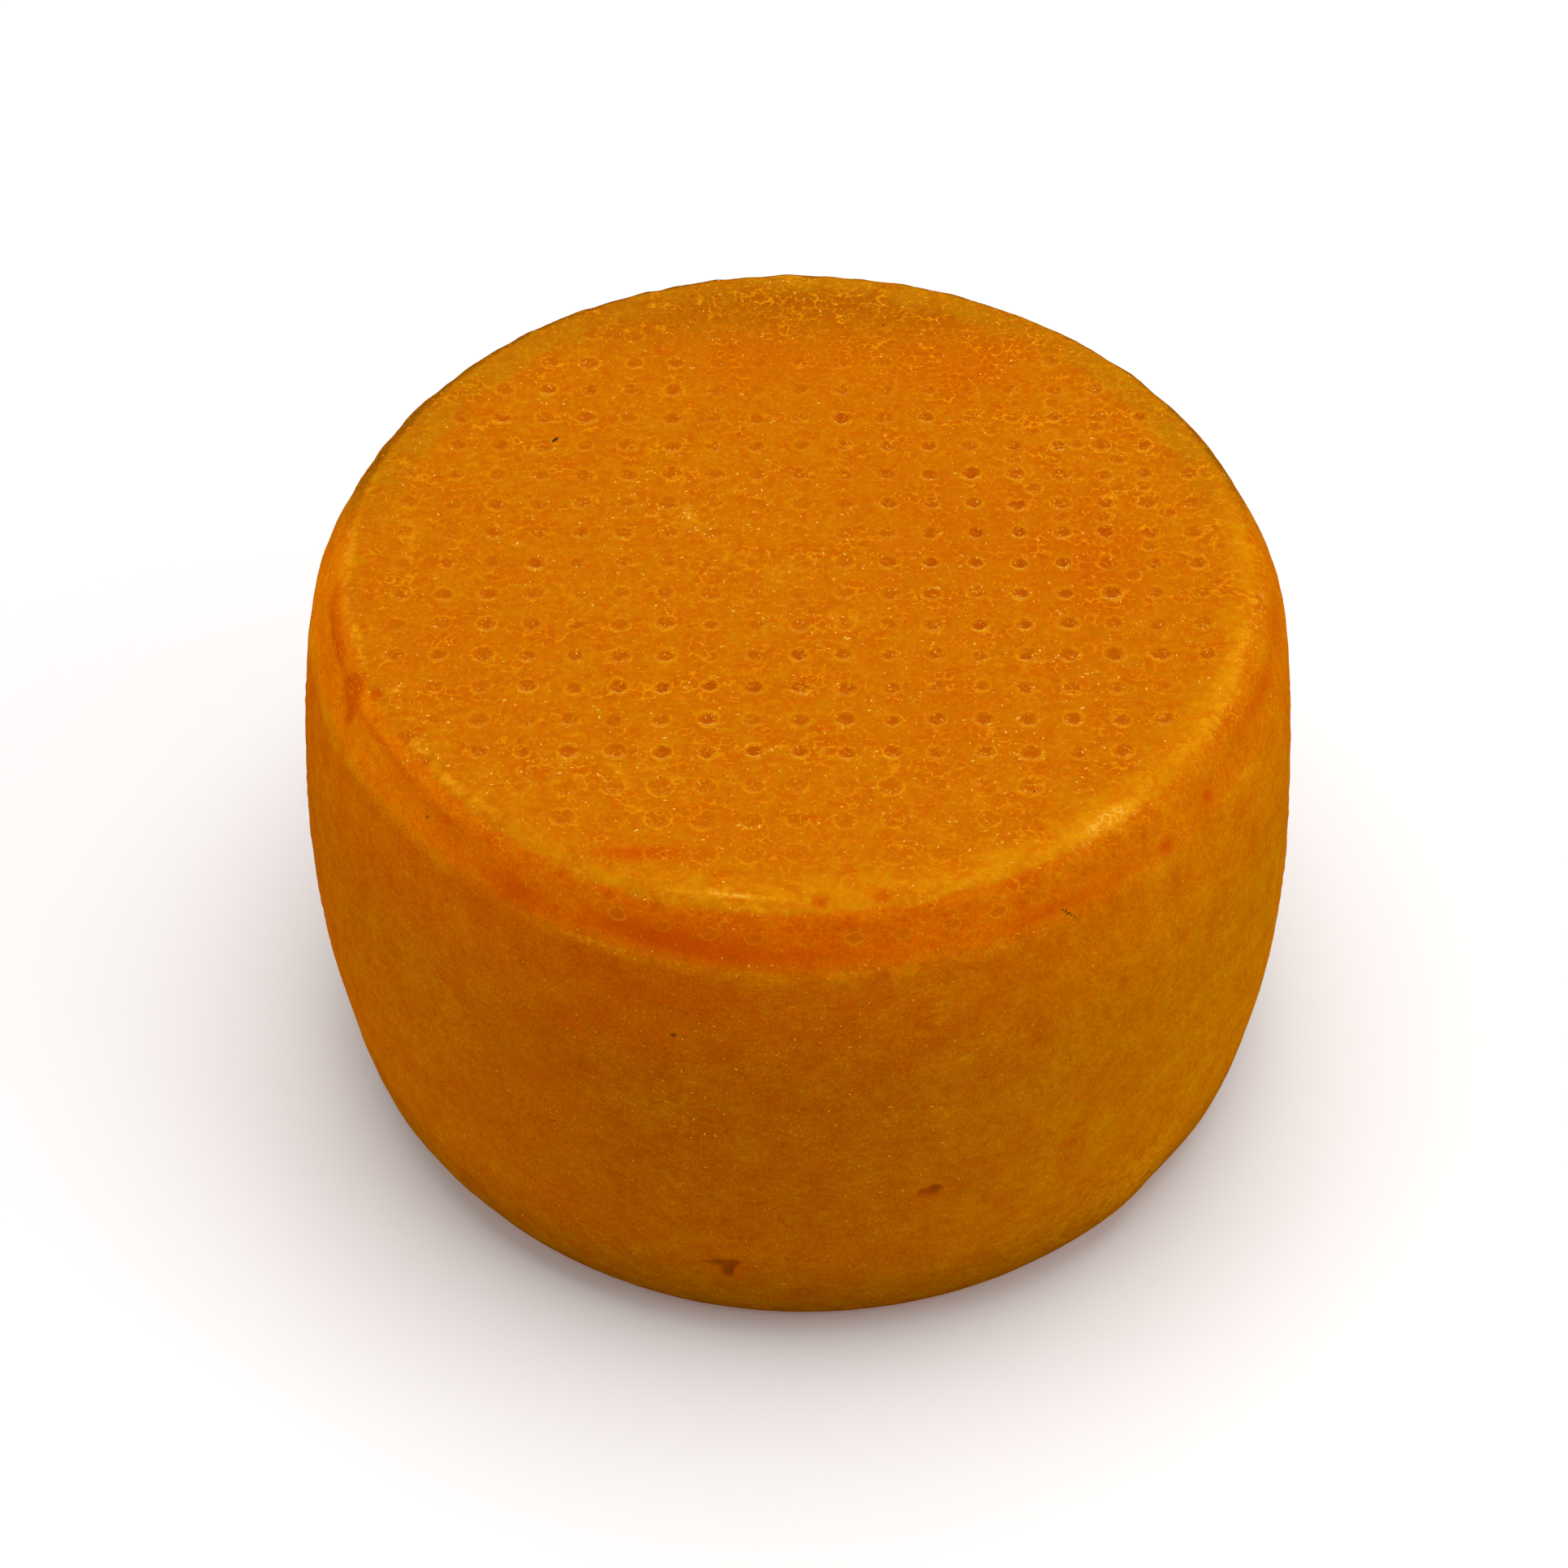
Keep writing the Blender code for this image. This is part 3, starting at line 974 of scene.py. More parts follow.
def cells(place, size, feature="F1", output="Distance"):
    feeds = {"Vector": place, "Scale": 1.0 / size}
    return Shade.node("ShaderNodeTexVoronoi", {"feature": feature}, feeds, output)


print("shader sums ready")

# %% [markdown]
# ## Pieces of the finish
# Specks are cells of a Voronoi pattern of which only a few, chosen by each cell's own random
# colour, show their middle. Wrinkles are the edges between cells, warped by a noise so that no
# edge stays straight. The drawing of a mark is a function of the distance from its middle,
# which a noise makes ragged.

# %% Specks, wrinkles and the drawing of a mark
def specks(place, size, radius, kept):
    """Small spots: size is their spacing in mm, radius their size as a share of it, kept how many show."""
    away, tint = cells(place, size, output=("Distance", "Color"))
    chance = Shade.node("ShaderNodeSeparateColor", None, {0: tint}, 0)
    return away.between(radius, radius * 0.45) * chance.between(1.0 - kept, 1.0 - kept + 0.02)


def wrinkles(place, size, width):
    """Fine bent lines, as a net: size is the mesh width and width the line's, in mm."""
    bent = sum_vectors(place, noise(place, size * 0.6, 2.0, output="Color"))
    edge = cells(bent, size, "DISTANCE_TO_EDGE")
    return edge.between(width / size, width / size * 0.25)


def mark_drawing(rag):
    """Dark floor, redder dish, pale ring and painted glint of the nearest mark, each times its own share.

    Ways and distances are in units of the mark's size. The dark floor is pushed towards the far
    side as painted shade, the ring is lighter on the near side as a painted highlight, and the
    painted glint is a pale crescent just inside the near rim.
    """
    way = Shade.node("ShaderNodeUVMap", {"uv_map": "marks"}, None, "UV")
    up = Shade.node("ShaderNodeSeparateXYZ", None, {0: way}, 1)
    depth = read_attribute("mark_depth")
    shown = read_attribute("mark_ring")
    away = Shade.node("ShaderNodeVectorMath", {"operation": "LENGTH"}, {0: way}, "Value")
    away = away + (rag - 0.5) * 1.15
    # Painted light: the floor is pushed to the far side as painted shade, and the ring and a pale crescent
    # inside the rim are strongest on the near side as painted highlights.
    near = up.between(0.5, -0.9)
    floor = (away - up * 0.10).between(0.88, 0.60) * depth
    dish = away.between(1.28, 1.10) * shown
    ring = abs(away - 1.30).between(0.25, 0.05) * shown * (0.50 + near * 0.50)
    painted_glint = abs(away - 0.96).between(0.24, 0.06) * up.between(-0.25, -0.80) * depth * shown
    return SimpleNamespace(floor=floor, dish=dish, ring=ring, painted_glint=painted_glint)


print("finish pieces ready")

# %% [markdown]
# ## The washed rind
# Colours go from the inside out: a ground colour for each zone of the barrel, orange on the
# faces, paler on the lip's crest, redder on the band and greener at the back edge. The flanks are
# lighter than the front, partly as painted light and partly a yellower rind, and the side grows
# darker and browner downwards, mostly as painted shade and partly a browner rind; a dark line on
# the back rim is painted shade. Then come soft blotches and grain, the stains, the marks with
# their painted shade and highlights, scabs of salt, wrinkles, flecks that are partly painted
# glints, and the lip's film, and last the torn places, whose dark insides are painted shade. It
# could be painted on an unwrapped picture, but sums of noises stay sharp from near. Zones meet
# along lines that wander, because the smear ran. The rind is waxy but dull, so it has no shine
# of its own; its glints are painted as pale flecks and crumbs.

# %% Colours of the rind
FACE = (0.520, 0.127, 0.0006, 1)
FACE_BACK = (0.365, 0.088, 0.0008, 1)
BACK_CRUST = (0.430, 0.136, 0.0012, 1)
# Painted shade: a dark line along the rim of the lip at the back.
BACK_RIM_SHADE = (0.230, 0.066, 0.0008, 1)
LIP = (0.580, 0.170, 0.0008, 1)
# Painted light and shade: the band and the side are lighter at the left and right flanks than at the front,
# and at the right and on the band also yellower; the colour low on the side is darker and browner, mostly
# painted shade and partly a browner rind.
BAND_LEFT = (0.700, 0.162, 0.0004, 1)
BAND = (0.605, 0.107, 0.0003, 1)
BAND_RIGHT = (0.570, 0.140, 0.0004, 1)
SIDE_LEFT = (0.492, 0.122, 0.0004, 1)
SIDE = (0.405, 0.098, 0.0004, 1)
SIDE_RIGHT = (0.475, 0.147, 0.0004, 1)
SHOULDER = (0.600, 0.190, 0.0006, 1)
SIDE_LOW_SHADED = (0.238, 0.076, 0.0005, 1)
HIGHER = (1.20, 1.03, 1.0, 1)
RED = (0.500, 0.058, 0.0003, 1)
PALE = (0.700, 0.262, 0.0045, 1)
RING = (0.720, 0.262, 0.0030, 1)
CREAM = (0.860, 0.430, 0.0500, 1)
PIT = (0.400, 0.060, 0.0004, 1)
DISH = (0.480, 0.100, 0.0004, 1)
SCAB = (0.780, 0.360, 0.0600, 1)
TORN_SHADE = (0.070, 0.014, 0.0004, 1)
TORN_SKIRT = (0.210, 0.036, 0.0004, 1)
DARKER = (0.80, 0.60, 0.50, 1)
LIGHTER = (1.20, 1.40, 1.60, 1)
REDDER = (0.97, 0.74, 0.60, 1)
YELLOWER = (1.03, 1.28, 1.50, 1)
DRAWN_OUT = (0.60, 1.0, 1.0)
UNEVEN = (0.34, 0.44, 0.50)
UNEVEN_FROM = (0.83, 0.78, 0.75)
print("ground colours of the side, left to right:", SIDE_LEFT[:3], SIDE[:3], SIDE_RIGHT[:3])

# %% The ground colour of each zone
# Where zones begin and end: first as the sine of the way round to the right, from the front
TO_LEFT = (-0.25, -1.0)
TO_RIGHT = (-0.10, 1.0)
CREST_RIGHT = (0.82, 1.0)
FACE_NARROW = (0.1, -0.5)
# Levels in mm
UPPER_SIDE = (50.0, 72.0)
LOW_SIDE = (23.0, 1.0)
UNDERSIDE = (2.5, 0.5)
ABOVE = (70.0, 75.0)
ON_FLAT = (76.0, 79.0)
# Way up from the shoulder, and away from it, in mm
BAND_EDGE = (-1.5, 1.2)
SHOULDER_LINE = (2.2, 0.3)
# Ways back from the middle, and radii, in mm
BEHIND = (2.0, 22.0)
FAR_BACK = (38.0, 56.0)
CREST_RADII = (59.3, 58.5)
FACE_RADII = (57.0, 53.0)
CRUST_RADII = (51.0, 55.0)
RIM_FROM = (57.0, 58.2)
RIM_TO = (59.9, 59.0)


def rind_ground(x, y, level, wander):
    """The ground colour by zone, and where the smooth crest of the lip is."""
    radius = (x * x + y * y).math("SQRT")
    out = radius + wander
    high = level + wander
    turn = x / radius
    from_shoulder = high - (WHEEL_HEIGHT / MM - SHOULDER_DROP / MM)
    to_left = turn.between(*TO_LEFT)
    to_right = turn.between(*TO_RIGHT)
    # Painted light and shade: lighter at the left and right flanks, on the side and the band, and darker
    # and browner towards the bottom, mostly as painted shade and partly a browner rind.
    side = blend_colours(blend_colours(SIDE, SIDE_LEFT, to_left), SIDE_RIGHT, to_right)
    side = blend_colours(side, HIGHER, high.between(*UPPER_SIDE), "MULTIPLY")
    side = blend_colours(side, SIDE_LOW_SHADED, high.between(*LOW_SIDE) * 0.95)
    band = blend_colours(blend_colours(BAND, BAND_LEFT, to_left), BAND_RIGHT, to_right)
    colour = blend_colours(side, band, from_shoulder.between(*BAND_EDGE))
    edge = abs(from_shoulder).between(*SHOULDER_LINE) * (0.40 + to_left * 0.25)
    colour = blend_colours(colour, SHOULDER, edge * (0.7 + wander * 0.7).limited())
    above = high.between(*ABOVE)
    inwards = to_left * 1.9 + turn.between(*CREST_RIGHT) * 1.2
    crest = (radius + wander * 0.3 + inwards).between(*CREST_RADII) * above
    colour = blend_colours(colour, LIP, crest)
    behind = (y + wander * 3.0).between(*BEHIND)
    face = blend_colours(FACE, FACE_BACK, (y + wander).between(*FAR_BACK))
    narrow = turn.between(*FACE_NARROW) * 2.2
    colour = blend_colours(colour, face, (out - narrow).between(*FACE_RADII) * above)
    colour = blend_colours(colour, BACK_CRUST, out.between(*CRUST_RADII) * above * behind * 0.8)
    # A darker line on the rim at the back: painted shade.
    rim = radius.between(*RIM_FROM) * radius.between(*RIM_TO)
    colour = blend_colours(colour, BACK_RIM_SHADE, rim * above * behind * 0.8)
    return blend_colours(colour, FACE, high.between(*UNDERSIDE)), crest


print("shoulder at, mm:", round((WHEEL_HEIGHT - SHOULDER_DROP) / MM, 1))

# %% Tints over the ground
def rind_clouds(place):
    """Noises of several sizes, which all the tints share; fine is three at once, as a colour."""
    return SimpleNamespace(
        broad=noise(place, 5.0, 2.0, 0.6),
        streaks=noise(sum_vectors(place, DRAWN_OUT, "MULTIPLY"), 1.0, 2.0, 0.85),
        mottle=noise(place, 1.6, 1.0, 0.8),
        grain=noise(place, 0.30, 1.0, 0.7),
        fine=noise(place, 0.7, 1.0, 0.8, output="Color"),
    )


def tint_blotches(colour, clouds, crest, on_flat):
    """Lighter and darker, redder and yellower, and a fine unevenness of each primary by itself."""
    tone = (clouds.broad - 0.5) * 0.6 + (clouds.streaks - 0.5) * 1.1 + (clouds.grain - 0.5) * 1.9
    tone = tone * (0.65 - on_flat * 0.15) * (1.0 - crest * on_flat * 0.75)
    tint = blend_colours(DARKER, LIGHTER, (0.5 + tone).limited())
    colour = blend_colours(colour, tint, 1.0, "MULTIPLY")
    hue = ((clouds.mottle - 0.5) * 1.2 + (clouds.broad - 0.5) * 1.2) * (0.7 + on_flat * 0.3)
    tint = blend_colours(REDDER, YELLOWER, (0.5 + hue).limited())
    colour = blend_colours(colour, tint, 1.0, "MULTIPLY")
    scaled = {0: clouds.fine, 1: UNEVEN, 2: UNEVEN_FROM}
    tint = Shade.node("ShaderNodeVectorMath", {"operation": "MULTIPLY_ADD"}, scaled)
    return blend_colours(colour, tint, 1.0, "MULTIPLY")


def tint_stains(colour, clouds, pale, on_flat):
    """Redder where the smear stayed wet and paler where the rind is dry, with ragged edges."""
    red = read_attribute("red_stain")
    ragged = (clouds.streaks - 0.5) * 1.1 + (clouds.mottle - 0.5) * 0.6
    wet = (red + ragged * (red > 0.02)).between(0.10, 0.95)
    colour = blend_colours(colour, RED, wet * 0.80)
    dry = (pale + ragged * (pale > 0.02)).between(0.15, 0.95)
    return blend_colours(colour, PALE, dry * (0.45 + on_flat * 0.25))


def tint_marks(colour, clouds, mark):
    """The dish and the floor of each mark, its broken ring and the painted glint on its near rim."""
    colour = blend_colours(colour, DISH, mark.dish.limited() * 0.70)
    colour = blend_colours(colour, PIT, mark.floor.limited() * 0.85)
    broken = clouds.streaks.between(0.34, 0.60) * 0.75 + 0.25
    colour = blend_colours(colour, RING, (mark.ring * broken).limited() * 0.95)
    # The pale crescent inside the near rim, broken by grain: a painted glint.
    painted_glint = mark.painted_glint * (clouds.grain * 3.0 - 0.7)
    return blend_colours(colour, CREAM, painted_glint.limited() * 0.80)


def tint_crusts(colour, clouds, pale, crest, on_flat, place, x, y):
    """Scabs, a net of wrinkles that is thicker at the back right, pale flecks that are partly painted
    glints, and the film of the lip.
    """
    scab = noise(place, 1.1, 2.0, 0.7).between(0.60, 0.68) * pale.between(0.06, 0.26) * (on_flat - crest)
    colour = blend_colours(colour, SCAB, (scab * 0.65).limited())
    thick = 0.25 + clouds.broad.between(0.50, 0.38) * 0.45 + (x + y).between(34.0, 50.0) * 0.16
    net = wrinkles(place, 1.25, 0.16) * (thick * on_flat + pale.between(0.25, 0.70) * 0.8)
    colour = blend_colours(colour, RING, (net * clouds.streaks.between(0.40, 0.62)).limited())
    # Pale flecks: partly real specks, partly painted glints.
    flecks_and_glints = specks(place, 0.46, 0.42, 0.12) * (0.25 + clouds.broad.between(0.40, 0.60) * 0.75)
    colour = blend_colours(colour, RING, (flecks_and_glints * (0.60 + on_flat * 0.30)).limited())
    film = wrinkles(place, 1.05, 0.11) * pale.between(0.64, 0.95) * on_flat
    return blend_colours(colour, CREAM, (film * 0.70).limited())


def tint_torn_and_shade(colour, clouds):
    """The torn places, dark inside and less so round them: painted shade in each recess, over a darker
    brown rind.
    """
    torn = read_attribute("torn") + (clouds.grain - 0.5) * 0.4
    colour = blend_colours(colour, TORN_SKIRT, torn.between(0.18, 0.45) * 0.75)
    return blend_colours(colour, TORN_SHADE, torn.between(0.50, 0.80) * 0.92)


print("tints ready")

# %% Put the rind's material together
def rind_material():
    material, shader = start_material("washed_rind")
    place, x, y, level = place_in_mm()
    clouds = rind_clouds(place)
    on_flat = level.between(*ON_FLAT)
    pale = read_attribute("pale_bloom")
    rag = Shade.node("ShaderNodeSeparateXYZ", None, {0: clouds.fine}, 2)
    mark = mark_drawing(rag * 0.6 + clouds.streaks * 0.2 + clouds.grain * 0.2)

    colour, crest = rind_ground(x, y, level, (clouds.broad - 0.5) * 2.6)
    colour = tint_blotches(colour, clouds, crest, on_flat)
    colour = tint_stains(colour, clouds, pale, on_flat)
    colour = tint_marks(colour, clouds, mark)
    colour = tint_crusts(colour, clouds, pale, crest, on_flat, place, x, y)
    Shade.feed(shader.inputs["Base Color"], tint_torn_and_shade(colour, clouds))

    dull = 0.55 - mark.floor.limited() * 0.12 + pale * 0.10 + (clouds.streaks - 0.5) * 0.2
    Shade.feed(shader.inputs["Roughness"], dull.limited())
    height = clouds.streaks * (0.035 - crest * 0.031) + clouds.grain * 0.022
    height = (height - mark.floor * 0.10 + mark.ring * 0.05) * MM
    bump = Shade.node("ShaderNodeBump", None, {"Height": height, "Distance": 1.0, "Strength": 1.0})
    Shade.feed(shader.inputs["Normal"], bump)
    shader.inputs["Specular IOR Level"].default_value = 0.0
    return material


rind.data.materials.clear()
rind.data.materials.append(rind_material())
print("nodes in the rind's material:", len(rind.data.materials[0].node_tree.nodes))

# %% [markdown]
# ## Crumbs on the rind
# Dried salt and smear also stand on the rind as tiny crumbs that catch the light, and pale
# crumbs also stand in for the glints of the waxy rind, as painted highlights. A particle
# system could strew them, but it leaves no choice of where they lie thicker. So one crumb is
# modelled, an icosphere pressed flat and pulled crooked, and copies of it are sunk to half
# their height in the rind, as one joined mesh, because a wheel has several thousand.

# %% One crumb
CRUMB_FORM = (1.0, 0.7, 0.45)
CRUMB_CROOKED = 0.22
CRUMB_FORM_SEED = 3
CRUMB_TURN_SEED = 5
CRUMB_LENGTH = (0.8, 2.4)
CRUMB_HEIGHT = (0.5, 0.9)


def one_crumb():
    bpy.ops.object.select_all(action="DESELECT")
    bpy.ops.mesh.primitive_ico_sphere_add(subdivisions=1, radius=1.0)
    crumb = bpy.context.object
    bpy.ops.object.mode_set(mode="EDIT")
    bpy.ops.mesh.select_all(action="SELECT")
    bpy.ops.transform.resize(value=CRUMB_FORM)
    bpy.ops.transform.vertex_random(offset=CRUMB_CROOKED, seed=CRUMB_FORM_SEED)
    bpy.ops.object.mode_set(mode="OBJECT")
    points = read_points(crumb)
    faces = np.array([tuple(face.vertices) for face in crumb.data.polygons])
    bpy.data.objects.remove(crumb, do_unlink=True)
    return points, faces


def scatter(name, spots, material):
    """Copies of the crumb, joined: each spot is a place, the way out of the surface and a size."""
    points, faces = one_crumb()
    turn = random.Random(CRUMB_TURN_SEED)
    all_points = []
    all_faces = []
    for number, (place, outwards, size) in enumerate(spots):
        upright = Vector(outwards).to_track_quat("Z", "Y").to_matrix()
        spin = Matrix.Rotation(turn.uniform(0, math.tau), 3, "Z")
        stretch = Matrix.Diagonal((turn.uniform(*CRUMB_LENGTH), 1.0, turn.uniform(*CRUMB_HEIGHT)))
        way = np.array(upright @ spin @ stretch)
        all_points.append(points @ way.T * size + np.array(place))
        all_faces.append(faces + number * len(points))
    mesh = bpy.data.meshes.new(name)
    mesh.from_pydata(np.concatenate(all_points).tolist(), [], np.concatenate(all_faces).tolist())
    crumbs = bpy.data.objects.new(name, mesh)
    bpy.context.scene.collection.objects.link(crumbs)
    crumbs.data.materials.append(material)
    only(crumbs)
    bpy.ops.object.shade_smooth()
    return crumbs


print("crumb, as shares of its size:", CRUMB_FORM)

# %% [markdown]
# Where the crumbs lie is half chance and half choice. Most are dropped on the rind's own faces,
# with better odds where the photo has more of them. Some sit at the rims of the marks as painted
# glints, and a few crusty spots and two small rings have their own places. Blender can list
# the rind's faces in another order in each run, so the single crumbs strewn on them move.

# %% Where crumbs lie
CRUMB_COUNT = 5000
CRUMB_SIZE = 0.058 * MM
CRUMBS_PER_MARK = 12
CRUMBS_PER_RING = 10
FACE_PICK_SEED = 4
CRUMB_SEED = 8
# Sizes as shares of the crumb's: the least, and what the largest have more
STREWN_SIZE = (0.6, 3.0)
MARK_CRUMB_SIZE = (0.8, 2.0)
# Sizes from the least to the largest
CLUSTER_SIZE = (1.0, 3.8)
RING_CRUMB_SIZE = 1.6
SIDE_CRUMB_SIZE = 0.72
# How far from a mark's middle its crumbs lie, as shares of its size, and how many a faint one has
MARK_CRUMB_AWAY = (0.45, 1.20)
FAINT_MARK_SHARE = 0.3
# Odds of a crumb, for the same area
FACE_ODDS = 0.7
SIDE_ODDS = 0.10
UNDER_ODDS = 0.05
# Levels in mm above which the face begins, and below which the underside does
FACE_FROM = 79
UNDER_FROM = 3
# Crusty spots of the face: middle and spread in mm, and how many crumbs
CLUSTERS = (
    (-14, 9.3, 0.7, 16), (-12.5, 6, 1, 8), (2, -10.5, 1.6, 16), (6.5, -13, 1.2, 8), (12, -22, 0.8, 8),
    (13.5, -25, 0.9, 9), (-21, 14, 1.5, 8), (-5, 12, 1.5, 10), (31, -17, 1.8, 10), (34, -23, 1.4, 9),
    (-36.2, 3.9, 0.4, 6), (-34.1, 9, 0.4, 4), (0, 55.5, 2.2, 16), (-26, -34, 2, 10), (5, -45, 2.4, 8),
    (24, -46, 1.8, 8), (-49.8, -22.5, 0.8, 12), (-45.5, -32, 1.3, 10),
)
# Small rings on the band: azimuth in degrees, level and radius in mm
CRUMB_RINGS = ((-42.4, 74.1, 0.40), (-40.6, 73.6, 0.50))
# Where crumbs lie thicker: middle and half widths in mm on the face, and how many times
FACE_CROWDS = (
    (-14, 8, 14, 13, 2.2), (10, -5, 15, 9, 2.4), (28, -18, 14, 10, 1.8), (-16, -36, 18, 9, 2),
    (24, -34, 16, 9, 1.8), (0, 53, 34, 5, 1.5), (-6, 22, 14, 6, 1), (36, 18, 12, 10, 0.8),
    (-34, 36, 10, 8, 1.2),
)
# The same on the side: azimuth in degrees and level in mm, half widths in degrees and mm
SIDE_CROWDS = (
    (-90, 58, 16, 8, 1.6), (-106, 46, 9, 12, 1.7), (-75, 65, 6, 9, 1.6), (-86, 42, 18, 14, 1.1),
    (-92, 72.6, 28, 0.8, 3), (-112, 79.6, 24, 1.2, 1.2), (-50, 79.6, 16, 1.2, 1.5),
)
print("crusty spots:", len(CLUSTERS), "crowded places:", len(FACE_CROWDS + SIDE_CROWDS))

# %% Draw the place of each crumb
def crowd_share(along, across, crowds, whole_turn=1e9):
    """Sum of soft hills of crumbs; on the side, the way along comes round after a whole turn."""
    total = np.zeros(len(along))
    for middle, level, half_width, half_height, amount in crowds:
        way = (along - middle + whole_turn / 2) % whole_turn - whole_turn / 2
        total += amount * np.exp(-(way / half_width) ** 2 - ((across - level) / half_height) ** 2)
    return total


def drop_on(x, y):
    """The place and the normal of the upper face straight below a point."""
    hit = rind.ray_cast(Vector((x, y, 2 * WHEEL_HEIGHT)), Vector((0, 0, -1)))
    return hit[1], hit[2]


def crumb_odds(mesh):
    """The odds of each face of the rind, and which faces lie on top."""
    areas = np.array([face.area for face in mesh.polygons])
    middles = np.array([tuple(face.center) for face in mesh.polygons]) / MM
    x, y, level = middles.T
    on_top = level > FACE_FROM
    azimuth = np.degrees(np.arctan2(y, x))
    face_odds = FACE_ODDS + crowd_share(x, y, FACE_CROWDS)
    side_odds = SIDE_ODDS + crowd_share(azimuth, level, SIDE_CROWDS, 360)
    odds = areas * np.where(level < UNDER_FROM, UNDER_ODDS, np.where(on_top, face_odds, side_odds))
    return odds / odds.sum(), on_top


def strewn_crumbs(draw):
    """Crumbs on the rind's own faces, each at a point drawn between a face's corners."""
    mesh = rind.data
    odds, on_top = crumb_odds(mesh)
    least, more = STREWN_SIZE
    picks = np.random.default_rng(FACE_PICK_SEED).choice(len(odds), CRUMB_COUNT, replace=False, p=odds)
    spots = []
    for pick in picks.tolist():
        face = mesh.polygons[pick]
        corners = [mesh.vertices[number].co for number in face.vertices]
        shares = [draw.random() for corner in corners]
        place = sum((corner * share for corner, share in zip(corners, shares)), Vector()) / sum(shares)
        size = CRUMB_SIZE * (least + more * draw.random() ** 3)
        spots.append((place, face.normal, size if on_top[pick] else size * SIDE_CRUMB_SIZE))
    return spots


def mark_glints(draw):
    """A few crumbs at the rim of each mark, more where it is deep: painted glints of the wet rim."""
    least, more = MARK_CRUMB_SIZE
    spots = []
    for mark_x, mark_y, wide, depth, ring in top_marks:
        for number in range(int(CRUMBS_PER_MARK * draw.random() * (FAINT_MARK_SHARE + depth))):
            angle = draw.uniform(0.0, math.tau)
            away = draw.uniform(*MARK_CRUMB_AWAY) * wide * MM
            place, normal = drop_on(mark_x + away * math.cos(angle), mark_y + away * math.sin(angle))
            spots.append((place, normal, CRUMB_SIZE * (least + more * draw.random() ** 2)))
    return spots


def placed_crumbs(draw):
    """The crusty spots of the face, and the small rings on the band."""
    spots = []
    for middle_x, middle_y, spread, count in CLUSTERS:
        for number in range(count):
            x = draw.gauss(middle_x, spread)
            y = draw.gauss(middle_y, spread)
            spots.append((*drop_on(x * MM, y * MM), CRUMB_SIZE * draw.uniform(*CLUSTER_SIZE)))
    for azimuth, level, radius in CRUMB_RINGS:
        for number in range(CRUMBS_PER_RING):
            turn = number * math.tau / CRUMBS_PER_RING
            shift = math.degrees(radius * math.cos(turn) * MM / SHOULDER_RADIUS)
            place, outwards = on_side(azimuth + shift, (level + radius * math.sin(turn)) * MM)
            spots.append((place, outwards, CRUMB_SIZE * RING_CRUMB_SIZE))
    return spots


draw = random.Random(CRUMB_SEED)
crumb_spots = strewn_crumbs(draw) + mark_glints(draw) + placed_crumbs(draw)
print("crumbs to lay:", len(crumb_spots))

# %% [markdown]
# Crumbs of salt on the face are nearly cream, partly as painted highlights. Those on the side
# lie in the smear, which dyes them, so their colour follows the level.

# %% Lay the crumbs
SALT_DYED = (0.80, 0.30, 0.004, 1)
SALT_CREAM = (0.92, 0.50, 0.060, 1)


def salt_and_glint_material():
    material, shader = start_material("salt_and_glint")
    place, *rest, level = place_in_mm()
    cream = noise(place, 0.5, 1.0).between(0.38, 0.62) * (0.25 + level.between(72.0, 79.0) * 0.75)
    Shade.feed(shader.inputs["Base Color"], blend_colours(SALT_DYED, SALT_CREAM, cream))
    Shade.feed(shader.inputs["Roughness"], 0.35 + noise(place, 0.6, 1.0) * 0.3)
    shader.inputs["Specular IOR Level"].default_value = 0.10
    return material


crumbs = scatter("salt_and_glint_crumbs", crumb_spots, salt_and_glint_material())
print("faces of the crumbs:", len(crumbs.data.polygons))

# %% [markdown]
# ## Dark specks
# A few black specks of shelf dust and dried smear sit on the rind, on the face and on the side,
# and a row of small ones stands for a thin nick in the band, whose dark line is painted shade.
# They are the same crumb, made larger and nearly black.

# %% Lay the dark specks
# x and y on the face in mm, or azimuth in degrees and level in mm, and size in mm
FACE_SPECKS = (
    (-31.6, 24.1, 0.34), (-55, 3.6, 0.26), (-9.3, -37.3, 0.16), (-16.5, -49.1, 0.3),
    (28.1, -40.2, 0.13), (49.1, -0.3, 0.2), (34.5, -39.3, 0.11), (-8, -38, 0.09), (12, 47, 0.2),
)
# The six small specks from -60 to -58.55 degrees are the nick's painted shade; the rest are dust and smear.
SIDE_SPECKS = (
    (-138.5, 76.2, 0.2), (-104, 61.2, 0.2), (-60, 74.05, 0.11), (-59.7, 73.75, 0.15),
    (-59.4, 73.4, 0.17), (-59.1, 73.05, 0.16), (-58.8, 72.7, 0.13), (-58.55, 72.4, 0.09),
    (-112, 32, 0.14), (35, 50, 0.22), (120, 40, 0.2), (80, 62, 0.24),
)
SPECK_BLACK = (0.040, 0.012, 0.001, 1)
SPECK_BROWN = (0.140, 0.042, 0.003, 1)


def dark_material():
    material, shader = start_material("dark_speck")
    place, *rest = place_in_mm()
    Shade.feed(shader.inputs["Base Color"], blend_colours(SPECK_BLACK, SPECK_BROWN, noise(place, 0.4)))
    shader.inputs["Roughness"].default_value = 0.7
    shader.inputs["Specular IOR Level"].default_value = 0.05
    return material


speck_spots = [(*on_face(x * MM, y * MM), size * MM) for x, y, size in FACE_SPECKS]
speck_spots += [(*on_side(azimuth, level * MM), size * MM) for azimuth, level, size in SIDE_SPECKS]
dark_specks = scatter("dark_specks", speck_spots, dark_material())
print("dark specks:", len(speck_spots))

# %% [markdown]
# ## What rides and what is replaced
# The wheel has one body. The rind stands for the solid, which stays for collision only, and
# the crumbs and specks go with it.

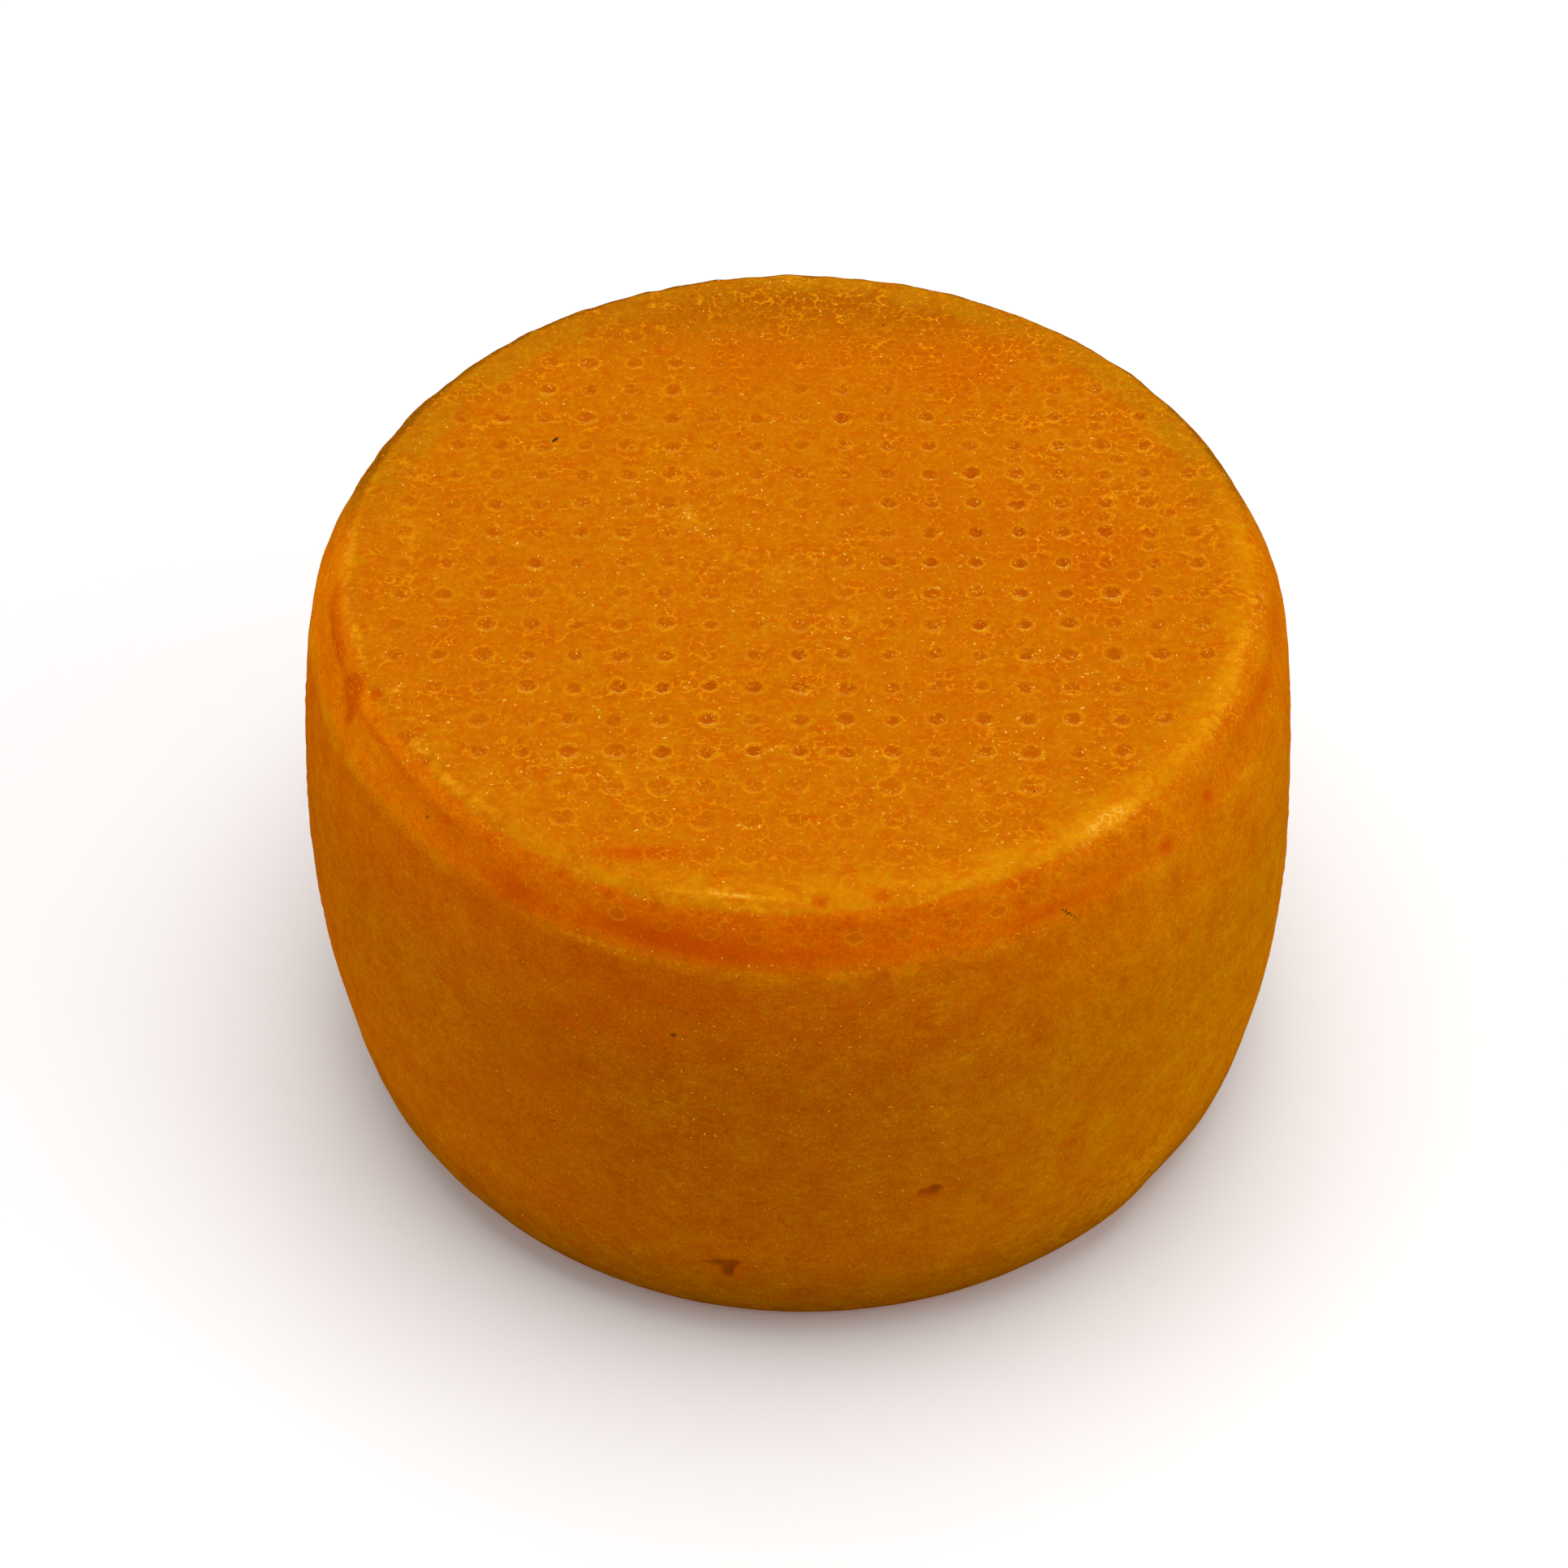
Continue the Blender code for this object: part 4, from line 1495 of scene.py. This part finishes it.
# %% Tie the pieces to the model
for piece in (rind, crumbs, dark_specks):
    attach(piece, "root")
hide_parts(SOLID)
print("pieces:", [piece.name for piece in (rind, crumbs, dark_specks)])

# %% [markdown]
# ## Floor and light
# The wheel stands on a plain pale floor. The photograph's light is soft and comes from above
# and slightly from the right: the upper face is even, and the side below is half as bright,
# with its right end lighter. A wide lamp overhead, a weaker one at the right, the weakest at the
# left and a pale sky give most of that; the rest is painted into the rind's colours, as painted
# light on the flanks and painted shade low on the side and on the back rim.

# %% Floor, lamps and sky
FLOOR_SIDE = 6.0
FLOOR_WHITE = (0.95, 0.95, 0.95, 1)
LAMP_AIM = Vector((0, 0, 0.04))
# Name, place, side of the square in metres and watts
LAMPS = (
    ("overhead", (0.06, 0.08, 1.1), 0.9, 8.4),
    ("right", (0.9, -0.3, 0.55), 0.8, 3.0),
    ("left", (-0.95, -0.1, 0.50), 0.8, 1.6),
)
SKY_WHITE = (1, 1, 1, 1)
SKY_STRENGTH = 0.43


def lamp(name, place, size, watts):
    light = bpy.data.lights.new(name, "AREA")
    light.shape = "SQUARE"
    light.size = size
    light.energy = watts
    holder = bpy.data.objects.new(name, light)
    bpy.context.scene.collection.objects.link(holder)
    holder.location = place
    holder.rotation_euler = (LAMP_AIM - Vector(place)).to_track_quat("-Z", "Y").to_euler()


def make_floor():
    bpy.ops.object.select_all(action="DESELECT")
    bpy.ops.mesh.primitive_plane_add(size=FLOOR_SIDE)
    floor = bpy.context.object
    floor.name = "floor"
    material, shader = start_material("pale_floor")
    shader.inputs["Base Color"].default_value = FLOOR_WHITE
    shader.inputs["Roughness"].default_value = 0.9
    shader.inputs["Specular IOR Level"].default_value = 0.1
    floor.data.materials.append(material)


def make_sky():
    world = bpy.data.worlds.new("studio")
    world.use_nodes = True
    sky = world.node_tree.nodes["Background"]
    sky.inputs["Color"].default_value = SKY_WHITE
    sky.inputs["Strength"].default_value = SKY_STRENGTH
    bpy.context.scene.world = world


make_floor()
for name, place, size, watts in LAMPS:
    lamp(name, place, size, watts)
make_sky()
bpy.context.scene.view_settings.view_transform = "Standard"
print("lamps:", [row[0] for row in LAMPS])
